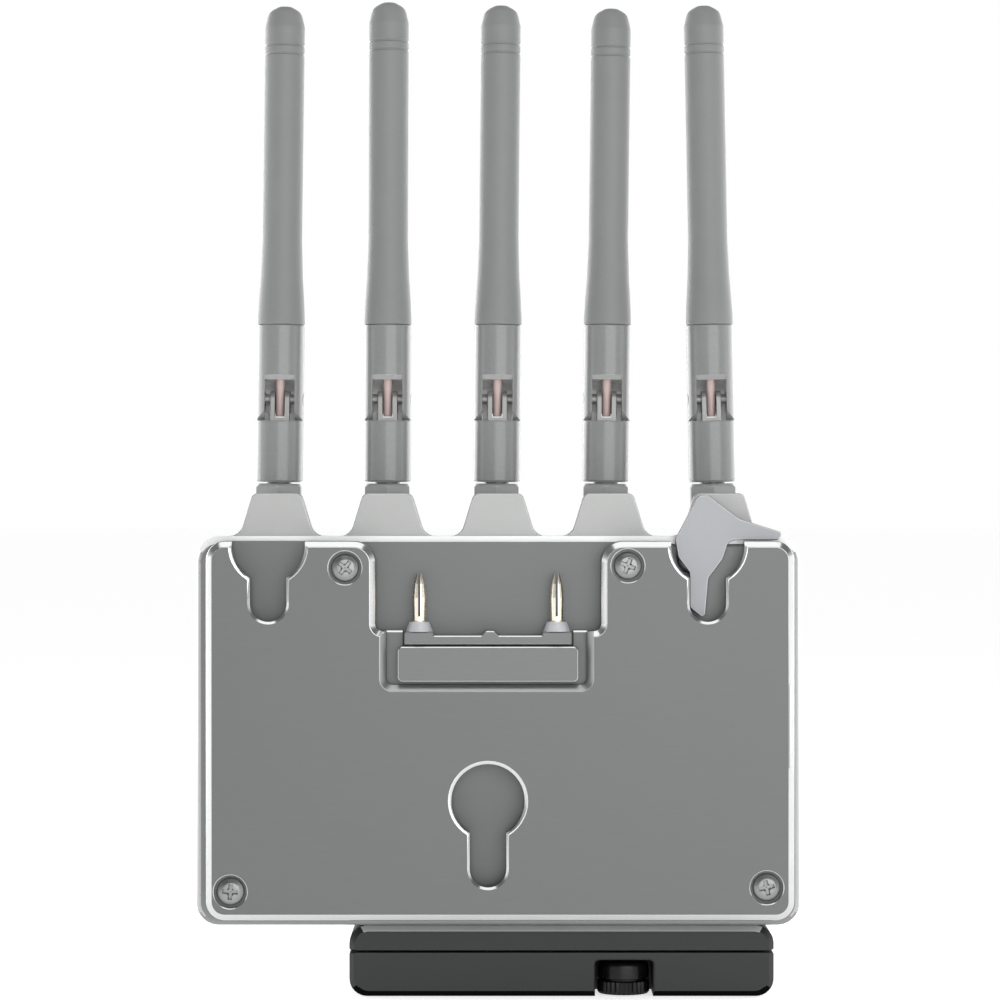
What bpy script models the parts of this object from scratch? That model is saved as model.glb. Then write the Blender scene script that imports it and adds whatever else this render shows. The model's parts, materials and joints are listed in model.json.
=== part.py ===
"""Five-antenna wireless video receiver with a three-stud battery plate and a foot bracket.

Units are metres and +Z is up. The battery plate faces -Y, so the cover with the display faces +Y.
The origin is at the middle of the foot's underside. GAP is the air left between neighbours.
"""

import math

import bmesh
import bpy

GAP = 0.0003

# Housing, cover and battery plate, all seen along +Y
HOUSING_HALF_W = 0.0580
HOUSING_BOTTOM = 0.0140
HOUSING_TOP = 0.0879
HOUSING_REAR = -0.0107
HOUSING_FRONT = 0.0120
HOUSING_CORNER = 0.0043
HOUSING_EDGE = 0.0010
WALL = 0.0022
REAR_WALL = 0.0025
COVER_FRONT = 0.0180
SHIELD_WALL = 0.0006

# Cooling grooves, display and button in the cover
GROOVE_COUNT = 15
GROOVE_PITCH = 0.0066
GROOVE_WIDTH = 0.0028
GROOVE_DEPTH = 0.0032
GROOVE_BOTTOM = 0.0225
GROOVE_TOP = 0.0520
DISPLAY_HALF_W = 0.0160
DISPLAY_BOTTOM = 0.0600
DISPLAY_TOP = 0.0760
BUTTON_X = 0.0300
BUTTON_Z = 0.0680
BUTTON_R = 0.0036

PLATE_CENTRE_X = 0.0004
PLATE_HALF_W = 0.0560
PLATE_BOTTOM = 0.0157
PLATE_TOP = 0.0877
PLATE_CORNER = 0.0036
PLATE_FRONT = -0.0180
PLATE_REAR = -0.0110
PLATE_EDGE = 0.0011
PLATE_SKIN = 0.0030
RECESS_FLOOR = -0.0124
RECESS_LEFT = -0.0236
RECESS_RIGHT = 0.0201
RECESS_BOTTOM = 0.0708
TRAY_LEFT = -0.0226
TRAY_RIGHT = 0.0188
TRAY_BOTTOM = 0.0592
TRAY_DEPTH = 0.0026

# Battery interface: three keyholes and two contact pins about one centre line
BATTERY_X = -0.0019
STUD_SPREAD = 0.0418
UPPER_STUD_Z = 0.0870
LOWER_STUD_Z = 0.0385
UPPER_SLOT_END = 0.0725
LOWER_SLOT_END = 0.0220
STUD_HEAD_R = 0.0070
SLOT_HALF = 0.0035
PIN_SPREAD = 0.0131
PIN_Y = -0.0152
PIN_TIP = 0.0819
PIN_COLLAR_TOP = 0.0731
PIN_COLLAR_BOTTOM = 0.0717
PIN_STEM_END = 0.0696
BLOCK_HALF_W = 0.0160
BLOCK_BOTTOM = 0.0681
BLOCK_TOP = 0.0714
PANEL_BOTTOM = 0.0611
PANEL_HALF_W = 0.0172

PLATE_SCREWS = ((-0.0291, 0.0828), (0.0247, 0.0832), (-0.0509, 0.0212), (0.0511, 0.0220))
SCREW_HEAD_R = 0.00265
COUNTERBORE_R = 0.0033
SCREW_SHANK_R = 0.0014

# Release lever, turning about Y
LEVER_X = 0.0379
LEVER_Z = 0.0850
LEVER_FRONT = -0.0147
LEVER_THICK = 0.0014
HUB_R = 0.0031
HUB_BACK = -0.0117
PIVOT_R = 0.0009
LEVER_POCKET_LEFT = 0.0313
LEVER_POCKET_RIGHT = 0.0553

# Antenna row; heights below are above the housing's top
ANTENNA_Y = 0.0022
ANTENNA_MIDDLE_X = -0.0004
ANTENNA_PITCH = 0.02125
ANTENNA_LEANS = (0.75, 0.2, 0.55, 0.7, -1.1)
ANTENNA_LENGTHS = (0.0766, 0.0774, 0.0768, 0.0762, 0.0768)
HINGE_Z = 0.0275
BARREL_R = 0.0046
BARREL_TOP = 0.0232
BARREL_BOTTOM = 0.0113
NUT_TOP = 0.0110
NUT_BOTTOM = 0.0017
NUT_ACROSS_FLATS = 0.0086
NUT_LIP = 0.0014
JACK_R = 0.0031
JACK_TOP = 0.0076
JACK_END = -0.0040
SHEATH_START = 0.0145
SHEATH_R = 0.00386
CAVITY_HALF = 0.00295
WINDOW_TOP = 0.0037
FORK_HALF = 0.00195
TRUNNION_R = 0.00095
TRUNNION_END = 0.0043
COAX_R = 0.00085
COAX_SLOT_HALF = 0.0010

GUARD_REAR = -0.0105
GUARD_FRONT = -0.0075
GUARD_TOP = 0.0970
GUARD_STRIP_TOP = 0.0888

# Side sockets and controls
SDI_HEIGHTS = (0.0340, 0.0520)
SDI_POCKET_FLOOR = -0.0487
SDI_POCKET_REACH = 0.0093
SDI_POCKET_HALF_Y = 0.0085
LUG_R = 0.0008
PORT_Y = 0.0010
HDMI_Z = 0.0520
HDMI_HALF_Y = 0.0076
HDMI_HALF_Z = 0.0029
HDMI_SHELL = 0.0006
POWER_Z = 0.0340
POWER_R = 0.0055
SWITCH_Z = 0.0700
SWITCH_TRAVEL = 0.0030

# Foot bracket, set off to one side of the housing
FOOT_LEFT = -0.0287
FOOT_RIGHT = 0.0532
FOOT_REAR = -0.0080
FOOT_FRONT = 0.0180
FOOT_TOP = 0.0137
FOOT_SEAM = 0.0087
FOOT_CORNER = 0.00345
KNOB_X = 0.0243
KNOB_Y = -0.0024
KNOB_R = 0.00505
KNOB_TOP = 0.0065
NOTCH_HALF = 0.0056
NOTCH_TOP = 0.0070
TRIPOD_X = 0.0050
TRIPOD_Y = 0.0080
TRIPOD_R = 0.0032
FOOT_SCREWS_X = (-0.0180, 0.0420)
FOOT_SCREW_Y = 0.0050
FOOT_SCREW_R = 0.0012

COLOURS = {
    "housing": ((0.20, 0.205, 0.20), 0.45, 0.6),
    "plate": ((0.23, 0.235, 0.235), 0.4, 0.5),
    "guard": ((0.55, 0.56, 0.55), 0.4, 0.8),
    "rubber": ((0.27, 0.28, 0.28), 0.7, 0.0),
    "gloss": ((0.30, 0.31, 0.31), 0.25, 0.0),
    "steel": ((0.60, 0.61, 0.61), 0.3, 1.0),
    "gold": ((0.85, 0.70, 0.45), 0.25, 1.0),
    "foot": ((0.045, 0.047, 0.046), 0.5, 0.2),
    "board": ((0.03, 0.16, 0.08), 0.5, 0.0),
    "glass": ((0.02, 0.02, 0.03), 0.1, 0.0),
    "coax": ((0.55, 0.42, 0.37), 0.5, 0.0),
}


def material(kind):
    """One Principled material for each finish in COLOURS."""
    found = bpy.data.materials.get(kind)
    if found:
        return found
    colour, roughness, metallic = COLOURS[kind]
    made = bpy.data.materials.new(kind)
    made.use_nodes = True
    shader = made.node_tree.nodes["Principled BSDF"]
    shader.inputs["Base Color"].default_value = (*colour, 1.0)
    shader.inputs["Roughness"].default_value = roughness
    shader.inputs["Metallic"].default_value = metallic
    return made


def new_object(name, mesh, kind=None, parent=None):
    """Link a mesh as a part of the given finish or, without one, as a hidden cutter."""
    made = bpy.data.objects.new(name, mesh)
    made.parent = parent
    if kind:
        PARTS.objects.link(made)
        mesh.materials.append(material(kind))
    else:
        CUTTERS.objects.link(made)
        made.hide_render = True
        made.display_type = "WIRE"
    return made


def empty(name, location, parent=None):
    made = bpy.data.objects.new(name, None)
    made.empty_display_size = 0.005
    made.location = location
    made.parent = parent
    PARTS.objects.link(made)
    return made


def box(name, low, high, kind=None, parent=None):
    """An upright box between two corners."""
    mesh = bpy.data.meshes.new(name)
    solid = bmesh.new()
    bmesh.ops.create_cube(solid, size=1.0)
    for vertex in solid.verts:
        vertex.co = [a + (b - a) * (c + 0.5) for a, b, c in zip(low, high, vertex.co)]
    solid.to_mesh(mesh)
    solid.free()
    return new_object(name, mesh, kind, parent)


def rod(name, radius, start, end, axis, kind=None, parent=None, sides=16):
    """A cylinder along one axis, from start to the same point moved to end on that axis."""
    index = "XYZ".index(axis)
    length = end - start[index]
    mesh = bpy.data.meshes.new(name)
    solid = bmesh.new()
    bmesh.ops.create_cone(
        solid, cap_ends=True, segments=sides, radius1=radius, radius2=radius, depth=abs(length)
    )
    solid.to_mesh(mesh)
    solid.free()
    made = new_object(name, mesh, kind, parent)
    made.location = [v + length / 2 if i == index else v for i, v in enumerate(start)]
    made.rotation_euler = {"X": (0, math.pi / 2, 0), "Y": (math.pi / 2, 0, 0), "Z": (0, 0, 0)}[axis]
    smooth(made)
    return made


def arc(cx, cz, radius, first, last, steps):
    """Points on a circle between two angles in degrees."""
    angles = [math.radians(first + (last - first) * i / steps) for i in range(steps + 1)]
    return [(cx + radius * math.cos(a), cz + radius * math.sin(a)) for a in angles]


def rounded(corners, steps=3):
    """A closed outline whose corners (x, z, radius) are replaced by arcs."""
    points = []
    for i, (x, z, radius) in enumerate(corners):
        if not radius:
            points.append((x, z))
            continue
        before, after = corners[i - 1], corners[(i + 1) % len(corners)]
        u = (before[0] - x, before[1] - z)
        v = (after[0] - x, after[1] - z)
        u = [c / math.hypot(*u) for c in u]
        v = [c / math.hypot(*v) for c in v]
        half = math.acos(max(-1, min(1, u[0] * v[0] + u[1] * v[1]))) / 2
        reach = radius / math.sin(half)
        mid = (u[0] + v[0], u[1] + v[1])
        mid = [c / math.hypot(*mid) for c in mid]
        cx, cz = x + mid[0] * reach, z + mid[1] * reach
        tangent = radius / math.tan(half)
        first = math.atan2(z + u[1] * tangent - cz, x + u[0] * tangent - cx)
        last = math.atan2(z + v[1] * tangent - cz, x + v[0] * tangent - cx)
        sweep = (last - first + math.pi) % (2 * math.pi) - math.pi
        points += arc(cx, cz, radius, math.degrees(first), math.degrees(first + sweep), steps)
    return points


def rectangle(left, bottom, right, top, radius=0, steps=3):
    corners = ((left, bottom), (right, bottom), (right, top), (left, top))
    return rounded([(x, z, radius) for x, z in corners], steps)


def slab(name, loops, near, far, kind=None, parent=None, facing="Y"):
    """Closed outlines drawn in the XZ plane (or, facing X, in the YZ plane), extruded from near to far."""
    curve = bpy.data.curves.new(name, "CURVE")
    curve.dimensions = "2D"
    curve.fill_mode = "BOTH"
    curve.extrude = (far - near) / 2
    for loop in loops:
        spline = curve.splines.new("POLY")
        spline.points.add(len(loop) - 1)
        spline.use_cyclic_u = True
        for point, (x, z) in zip(spline.points, loop):
            point.co = (x, z, 0, 1)
    drawn = bpy.data.objects.new(name + "_outline", curve)
    PARTS.objects.link(drawn)
    mesh = bpy.data.meshes.new_from_object(drawn.evaluated_get(bpy.context.evaluated_depsgraph_get()))
    bpy.data.objects.remove(drawn)
    solid = bmesh.new()
    solid.from_mesh(mesh)
    bmesh.ops.remove_doubles(solid, verts=solid.verts, dist=0.000001)
    bmesh.ops.dissolve_limit(solid, angle_limit=0.001, verts=solid.verts, edges=solid.edges)
    bmesh.ops.recalc_face_normals(solid, faces=solid.faces)
    solid.to_mesh(mesh)
    solid.free()
    mesh.name = name
    mesh.materials.clear()
    made = new_object(name, mesh, kind, parent)
    middle = (near + far) / 2
    if facing == "Y":
        made.location = (0, middle, 0)
        made.rotation_euler = (math.pi / 2, 0, 0)
    else:
        made.location = (middle, 0, 0)
        made.rotation_euler = (math.pi / 2, 0, math.pi / 2)
    return made


def turned(name, profile, kind=None, parent=None, steps=16, closed=False):
    """A profile of (radius, height), from the top down its outer side, turned about Z."""
    mesh = bpy.data.meshes.new(name)
    count = len(profile)
    edges = [(i, i + 1) for i in range(count - 1)] + ([(count - 1, 0)] if closed else [])
    mesh.from_pydata([(r, 0, z) for r, z in profile], edges, [])
    made = new_object(name, mesh, kind, parent)
    screw = made.modifiers.new("turn", "SCREW")
    screw.steps = steps
    screw.render_steps = steps
    screw.use_merge_vertices = True
    screw.merge_threshold = 0.000001
    screw.use_smooth_shade = True
    return made


def smooth(made):
    made.data.shade_smooth()
    made.data.set_sharp_from_angle(angle=math.radians(35))


def cut(target, tool, operation="DIFFERENCE"):
    step = target.modifiers.new(tool.name, "BOOLEAN")
    step.operation = operation
    step.object = tool
    step.solver = "EXACT"


def bevel(target, width, segments=1):
    step = target.modifiers.new("edge", "BEVEL")
    step.width = width
    step.segments = segments
    step.limit_method = "ANGLE"
    step.angle_limit = math.radians(50)


def turn_to_x(made, origin, sign):
    """Lay a turned piece on its side, its top pointing along X to the given side."""
    made.location = origin
    made.rotation_euler = (0, sign * math.pi / 2, 0)


# ---------------------------------------------------------------- housing and cover


def housing_outline(inset=0.0):
    return rectangle(
        -HOUSING_HALF_W + inset, HOUSING_BOTTOM + inset,
        HOUSING_HALF_W - inset, HOUSING_TOP - inset, HOUSING_CORNER - inset * 0.6,
    )


def make_housing():
    """The rear tub, open towards the cover, with a side pocket for the video sockets."""
    body = slab("housing", [housing_outline()], HOUSING_REAR, HOUSING_FRONT, "housing")
    bevel(body, HOUSING_EDGE)
    low, high = SDI_HEIGHTS[0] - SDI_POCKET_REACH, SDI_HEIGHTS[1] + SDI_POCKET_REACH
    inner_left, inner_right = -HOUSING_HALF_W + WALL, HOUSING_HALF_W - WALL
    bottom, top = HOUSING_BOTTOM + WALL, HOUSING_TOP - WALL
    notch = SDI_POCKET_FLOOR + WALL
    hollow = [
        (inner_left, bottom, 0.002), (inner_right, bottom, 0.002),
        (inner_right, top, 0.002), (inner_left, top, 0.002),
        (inner_left, high + WALL, 0), (notch, high + WALL, 0),
        (notch, low - WALL, 0), (inner_left, low - WALL, 0),
    ]
    cut(body, slab("cut_tub", [rounded(hollow, 2)], HOUSING_REAR + REAR_WALL, 0.02))
    pocket = rectangle(PORT_Y - SDI_POCKET_HALF_Y, low, PORT_Y + SDI_POCKET_HALF_Y, high, 0.0015, 2)
    cut(body, slab("cut_sdi_pocket", [pocket], -HOUSING_HALF_W - 0.01, SDI_POCKET_FLOOR, facing="X"))
    for i, z in enumerate(SDI_HEIGHTS):
        start = (SDI_POCKET_FLOOR - 0.002, PORT_Y, z)
        cut(body, rod(f"cut_sdi_{i + 1}", 0.0050, start, notch + 0.002, "X"))
    inside, outside = HOUSING_HALF_W - 0.004, HOUSING_HALF_W + 0.002
    for kind, z, half_y, half_z in (
        ("hdmi", HDMI_Z, HDMI_HALF_Y + GAP, HDMI_HALF_Z + GAP),
        ("switch", SWITCH_Z, 0.0023, 0.0044),
    ):
        opening = rectangle(PORT_Y - half_y, z - half_z, PORT_Y + half_y, z + half_z, 0.001, 2)
        cut(body, slab(f"cut_{kind}", [opening], inside, outside, facing="X"))
    cut(body, rod("cut_power", POWER_R + GAP, (inside, PORT_Y, POWER_Z), outside, "X", sides=20))
    for i in range(5):
        x = antenna_x(i)
        cut(body, rod(f"cut_jack_{i + 1}", JACK_R + GAP, (x, ANTENNA_Y, HOUSING_TOP - 0.004),
                      HOUSING_TOP + 0.002, "Z", sides=12))
    for i, (x, z) in enumerate(PLATE_SCREWS):
        cut(body, rod(f"cut_wall_screw_{i + 1}", SCREW_SHANK_R + GAP,
                      (x, HOUSING_REAR - 0.001, z), HOUSING_REAR + REAR_WALL + 0.001, "Y", sides=12))
    for i, x in enumerate(FOOT_SCREWS_X):
        start = (x, FOOT_SCREW_Y, HOUSING_BOTTOM - 0.001)
        name = f"cut_foot_screw_{i + 1}"
        cut(body, rod(name, FOOT_SCREW_R + GAP, start, HOUSING_BOTTOM + WALL + 0.001, "Z", sides=12))
    start = (LEVER_X, HOUSING_REAR - 0.001, LEVER_Z)
    cut(body, rod("cut_wall_pivot", PIVOT_R + GAP, start, HOUSING_REAR + 0.0016, "Y", sides=12))


def make_cover():
    """The front cover: cooling grooves, a display bed and a button bore."""
    cover = slab("front_cover", [housing_outline()], HOUSING_FRONT + GAP, COVER_FRONT, "housing")
    bevel(cover, HOUSING_EDGE)
    grooves = []
    for i in range(GROOVE_COUNT):
        x = GROOVE_PITCH * (i - (GROOVE_COUNT - 1) / 2)
        grooves.append(rectangle(x - GROOVE_WIDTH / 2, GROOVE_BOTTOM, x + GROOVE_WIDTH / 2, GROOVE_TOP))
    cut(cover, slab("cut_grooves", grooves, COVER_FRONT - GROOVE_DEPTH, COVER_FRONT + 0.001))
    display = rectangle(
        -DISPLAY_HALF_W - GAP, DISPLAY_BOTTOM - GAP, DISPLAY_HALF_W + GAP, DISPLAY_TOP + GAP, 0.0013, 2
    )
    cut(cover, slab("cut_display", [display], COVER_FRONT - 0.0021, COVER_FRONT + 0.001))
    cut(cover, rod("cut_button", BUTTON_R + GAP, (BUTTON_X, HOUSING_FRONT - 0.001, BUTTON_Z),
                   COVER_FRONT + 0.001, "Y", sides=20))
    screen = rectangle(-DISPLAY_HALF_W, DISPLAY_BOTTOM, DISPLAY_HALF_W, DISPLAY_TOP, 0.001, 2)
    slab("display_window", [screen], COVER_FRONT - 0.0018, COVER_FRONT - 0.0004, "glass")
    button = turned("menu_button", [
        (0, 0.0052), (BUTTON_R - 0.0006, 0.0050), (BUTTON_R, 0.0044), (BUTTON_R, 0.0),
        (BUTTON_R + 0.0009, 0.0), (BUTTON_R + 0.0009, -0.0010), (0, -0.0010),
    ], "gloss", steps=20)
    button.location = (BUTTON_X, HOUSING_FRONT, BUTTON_Z)
    button.rotation_euler = (-math.pi / 2, 0, 0)


def make_internals():
    """The main circuit board and the radio module's shield can, which is open towards the board."""
    box("main_board", (-0.0420, 0.0050, 0.0185), (0.0440, 0.0066, 0.0810), "board")
    low, high = (-0.0380, -0.0030, 0.0560), (0.0400, 0.0047, 0.0780)
    shield = box("radio_shield", low, high, "steel")
    inner_low = [value + SHIELD_WALL for value in low]
    inner_high = (high[0] - SHIELD_WALL, high[1] + 0.001, high[2] - SHIELD_WALL)
    cut(shield, box("cut_shield", inner_low, inner_high))


# ---------------------------------------------------------------- battery plate


def keyhole(x, z, slot_end):
    """A stud's head hole running into a narrower slot below it."""
    edge = math.degrees(math.asin(SLOT_HALF / STUD_HEAD_R))
    head = arc(x, z, STUD_HEAD_R, 270 + edge, 630 - edge, 14)
    return head + arc(x, slot_end + SLOT_HALF, SLOT_HALF, 180, 360, 6)


def keyholes():
    left, right = BATTERY_X - STUD_SPREAD, BATTERY_X + STUD_SPREAD
    return [
        (left, UPPER_STUD_Z, UPPER_SLOT_END),
        (right, UPPER_STUD_Z, UPPER_SLOT_END),
        (BATTERY_X, LOWER_STUD_Z, LOWER_SLOT_END),
    ]


def make_battery_plate():
    """The plate that a battery's three studs drop into, with its contact recess."""
    left, right = PLATE_CENTRE_X - PLATE_HALF_W, PLATE_CENTRE_X + PLATE_HALF_W
    outline = rectangle(left, PLATE_BOTTOM, right, PLATE_TOP, PLATE_CORNER)
    plate = slab("battery_plate", [outline], PLATE_FRONT, PLATE_REAR, "plate")
    bevel(plate, PLATE_EDGE)
    skin_back = PLATE_FRONT + PLATE_SKIN
    holes = [keyhole(*k) for k in keyholes()]
    cut(plate, slab("cut_keyholes", holes, PLATE_FRONT - 0.001, skin_back + 0.0002))
    reach, below = STUD_HEAD_R + GAP, SLOT_HALF + 0.0002
    (upper_x, _, upper_end), _, (lower_x, lower_z, lower_end) = keyholes()
    pockets = [
        rectangle(upper_x - reach, upper_end - below, upper_x + reach, PLATE_TOP + 0.002),
        rectangle(LEVER_POCKET_LEFT, upper_end - below, LEVER_POCKET_RIGHT, PLATE_TOP + 0.002),
        rectangle(lower_x - reach, lower_end - below, lower_x + reach, lower_z + reach),
    ]
    cut(plate, slab("cut_stud_pockets", pockets, skin_back, PLATE_REAR + 0.001))
    flare, over = 0.0050, PLATE_TOP + 0.002
    recess = rounded([
        (RECESS_LEFT, RECESS_BOTTOM, 0.0011), (RECESS_RIGHT, RECESS_BOTTOM, 0.0011),
        (RECESS_RIGHT, PLATE_TOP - 0.0005, 0.0026), (RECESS_RIGHT + flare, PLATE_TOP - 0.0003, 0),
        (RECESS_RIGHT + flare, over, 0), (RECESS_LEFT - flare, over, 0),
        (RECESS_LEFT - flare, PLATE_TOP - 0.0003, 0), (RECESS_LEFT, PLATE_TOP - 0.0005, 0.0026),
    ])
    cut(plate, slab("cut_recess", [recess], PLATE_FRONT - 0.001, RECESS_FLOOR))
    tray = rectangle(TRAY_LEFT, TRAY_BOTTOM, TRAY_RIGHT, RECESS_BOTTOM + 0.001, 0.0014)
    cut(plate, slab("cut_tray", [tray], PLATE_FRONT - 0.0011, PLATE_FRONT + TRAY_DEPTH))
    half = BLOCK_HALF_W + GAP
    bed = rectangle(BATTERY_X - half, BLOCK_BOTTOM - GAP, BATTERY_X + half, RECESS_BOTTOM + 0.0005)
    cut(plate, slab("cut_block_bed", [bed], PLATE_FRONT - 0.0012, RECESS_FLOOR + 0.00004))
    for i, (x, z) in enumerate(PLATE_SCREWS):
        start = (x, PLATE_FRONT - 0.001, z)
        cut(plate, rod(f"cut_screw_head_{i + 1}", COUNTERBORE_R, start, PLATE_FRONT + 0.0021, "Y", sides=20))
        cut(plate, rod(f"cut_screw_{i + 1}", SCREW_SHANK_R + GAP, start, PLATE_REAR + 0.001, "Y", sides=12))


def make_terminals():
    """The contact block, its two spring pins and the small cover below them."""
    left, right = BATTERY_X - BLOCK_HALF_W, BATTERY_X + BLOCK_HALF_W
    bar = BLOCK_TOP - 0.0012
    outline = [(left, BLOCK_BOTTOM), (right, BLOCK_BOTTOM), (right, BLOCK_TOP)]
    outline += [(right - 0.0055, BLOCK_TOP), (right - 0.0055, bar)]
    outline += arc(BATTERY_X + 0.0004, bar - 0.0006, 0.0016, 22, 158, 5)
    outline += [(left + 0.0055, bar), (left + 0.0055, BLOCK_TOP), (left, BLOCK_TOP)]
    block = slab("terminal_block", [outline], PLATE_FRONT + 0.0006, RECESS_FLOOR - GAP, "plate")
    for side, sign in (("left", -1), ("right", 1)):
        x = BATTERY_X + sign * PIN_SPREAD
        start = (x, PIN_Y, PIN_STEM_END - GAP)
        cut(block, rod(f"cut_pin_{side}", 0.0012, start, BLOCK_TOP + 0.001, "Z", sides=12))
        pin = turned(f"power_pin_{side}", [
            (0, PIN_TIP), (0.0007, PIN_TIP - 0.0006), (0.0012, PIN_TIP - 0.0022),
            (0.0014, PIN_TIP - 0.0048), (0.0012, PIN_COLLAR_TOP),
            (0.0021, PIN_COLLAR_TOP), (0.0021, PIN_COLLAR_BOTTOM),
            (0.0009, PIN_COLLAR_BOTTOM), (0.0009, PIN_STEM_END), (0, PIN_STEM_END),
        ], "gold", steps=12)
        pin.location = (x, PIN_Y, 0)
    panel = rectangle(
        BATTERY_X - PANEL_HALF_W, PANEL_BOTTOM, BATTERY_X + PANEL_HALF_W, BLOCK_BOTTOM - GAP, 0.0009
    )
    slab("terminal_cover", [panel], PLATE_FRONT + 0.0002, PLATE_FRONT + 0.0023, "plate")


def make_plate_screws():
    for i, (x, z) in enumerate(PLATE_SCREWS):
        screw = turned(f"plate_screw_{i + 1}", [
            (0, 0.0), (0.0018, -0.0003), (SCREW_HEAD_R, -0.0009), (SCREW_HEAD_R, -0.0018),
            (SCREW_SHANK_R, -0.0018), (SCREW_SHANK_R, -0.0098), (0, -0.0098),
        ], "steel", steps=16)
        screw.location = (x, PLATE_FRONT + 0.0001, z)
        screw.rotation_euler = (math.pi / 2, 0, 0)


def make_lever():
    """The sprung release lever, its pin and its torsion spring."""
    pivot = empty("lever_axis", (LEVER_X, 0, LEVER_Z))
    outline = rounded([
        (0.0003, 0.0111, 0.0012), (-0.0041, 0.0034, 0.0012), (-0.0050, -0.0004, 0.0014),
        (-0.0018, -0.0045, 0.001), (-0.0016, -0.0102, 0.0012), (0.0003, -0.0126, 0.0006),
        (0.0020, -0.0118, 0.0006), (0.0020, -0.0052, 0.0008), (0.0052, -0.0016, 0.0016),
        (0.0066, 0.0031, 0.0010), (0.0156, 0.0031, 0.0005), (0.0164, 0.0044, 0.0006),
        (0.0084, 0.0071, 0.002),
    ], 2)
    back = LEVER_FRONT + LEVER_THICK
    lever = slab("release_lever", [outline], LEVER_FRONT, back, "guard", pivot)
    hub_start = (0, back - 0.0003, 0)
    cut(lever, rod("join_hub", HUB_R, hub_start, HUB_BACK, "Y", parent=pivot, sides=20), "UNION")
    bore_start = (0, back - 0.0005, 0)
    cut(lever, rod("cut_hub", PIVOT_R + GAP, bore_start, HUB_BACK + 0.001, "Y", parent=pivot, sides=12))
    start = (LEVER_X, back - 0.0002, LEVER_Z)
    rod("lever_pivot", PIVOT_R, start, HOUSING_REAR + 0.0013, "Y", "steel", sides=12)
    spring = bpy.data.curves.new("lever_spring", "CURVE")
    spring.dimensions = "3D"
    spring.bevel_depth = 0.0002
    spring.bevel_resolution = 1
    spring.use_fill_caps = True
    spline = spring.splines.new("POLY")
    turns, per_turn = 1.5, 14
    count = int(turns * per_turn)
    spline.points.add(count)
    for i, point in enumerate(spline.points):
        angle = 2 * math.pi * i / per_turn
        y = HUB_BACK - 0.0003 - 0.0008 * i / count
        point.co = (0.0036 * math.cos(angle), y, 0.0036 * math.sin(angle), 1)
    coil = bpy.data.objects.new("lever_spring", spring)
    coil.location = (LEVER_X, 0, LEVER_Z)
    spring.materials.append(material("steel"))
    PARTS.objects.link(coil)


# ---------------------------------------------------------------- antennas


def antenna_x(i):
    return ANTENNA_MIDDLE_X + ANTENNA_PITCH * (i - 2)


def make_guard():
    """Five lobes on one strip, shielding the antenna nuts from behind."""
    base = HOUSING_TOP + GAP
    outline = [(-0.0522, base), (0.0522, base), (0.0522, GUARD_STRIP_TOP)]
    corners = []
    for i in reversed(range(5)):
        x = ANTENNA_PITCH * (i - 2)
        corners += [
            (x + 0.0070, GUARD_STRIP_TOP, 0.0030), (x + 0.0047, GUARD_TOP, 0.0014),
            (x - 0.0047, GUARD_TOP, 0.0014), (x - 0.0070, GUARD_STRIP_TOP, 0.0030),
        ]
    outline += rounded([(0.06, GUARD_STRIP_TOP, 0), *corners, (-0.06, GUARD_STRIP_TOP, 0)])[1:-1]
    outline.append((-0.0522, GUARD_STRIP_TOP))
    slab("antenna_guard", [outline], GUARD_REAR, GUARD_FRONT, "guard")


def make_jack(i):
    jack = turned(f"antenna_{i}_jack", [
        (JACK_R, JACK_TOP), (JACK_R, 0.0013), (0.0042, 0.0013), (0.0042, GAP), (JACK_R, GAP),
        (JACK_R, JACK_END), (0.0010, JACK_END), (0.0010, 0.0025), (0.0022, 0.0025), (0.0022, JACK_TOP),
    ], "gold", steps=12, closed=True)
    jack.location = (antenna_x(i - 1), ANTENNA_Y, HOUSING_TOP)


def make_nut(i, axis):
    """The hexagonal coupling nut, with a lip that holds the base's flange."""
    corner = NUT_ACROSS_FLATS / 2 / math.cos(math.pi / 6)
    nut = rod(f"antenna_{i}_nut", corner, (0, 0, NUT_BOTTOM), NUT_TOP, "Z", "gloss", axis, sides=6)
    nut.rotation_euler = (0, 0, math.pi / 2)
    crown = turned(f"shape_nut_{i}", [
        (0, NUT_TOP + 0.001), (corner - 0.0017, NUT_TOP + 0.001), (corner - 0.0005, NUT_TOP - 0.0004),
        (corner + 0.001, NUT_TOP - 0.0012), (corner + 0.001, NUT_BOTTOM - 0.001), (0, NUT_BOTTOM - 0.001),
    ], parent=axis, steps=18)
    cut(nut, crown, "INTERSECT")
    lip = NUT_TOP - NUT_LIP
    bore = turned(f"cut_nut_{i}", [
        (0, NUT_TOP + 0.001), (0.00275, NUT_TOP + 0.001), (0.00275, lip), (0.0035, lip),
        (0.0035, NUT_BOTTOM - 0.001), (0, NUT_BOTTOM - 0.001),
    ], parent=axis, steps=12)
    cut(nut, bore)


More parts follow.
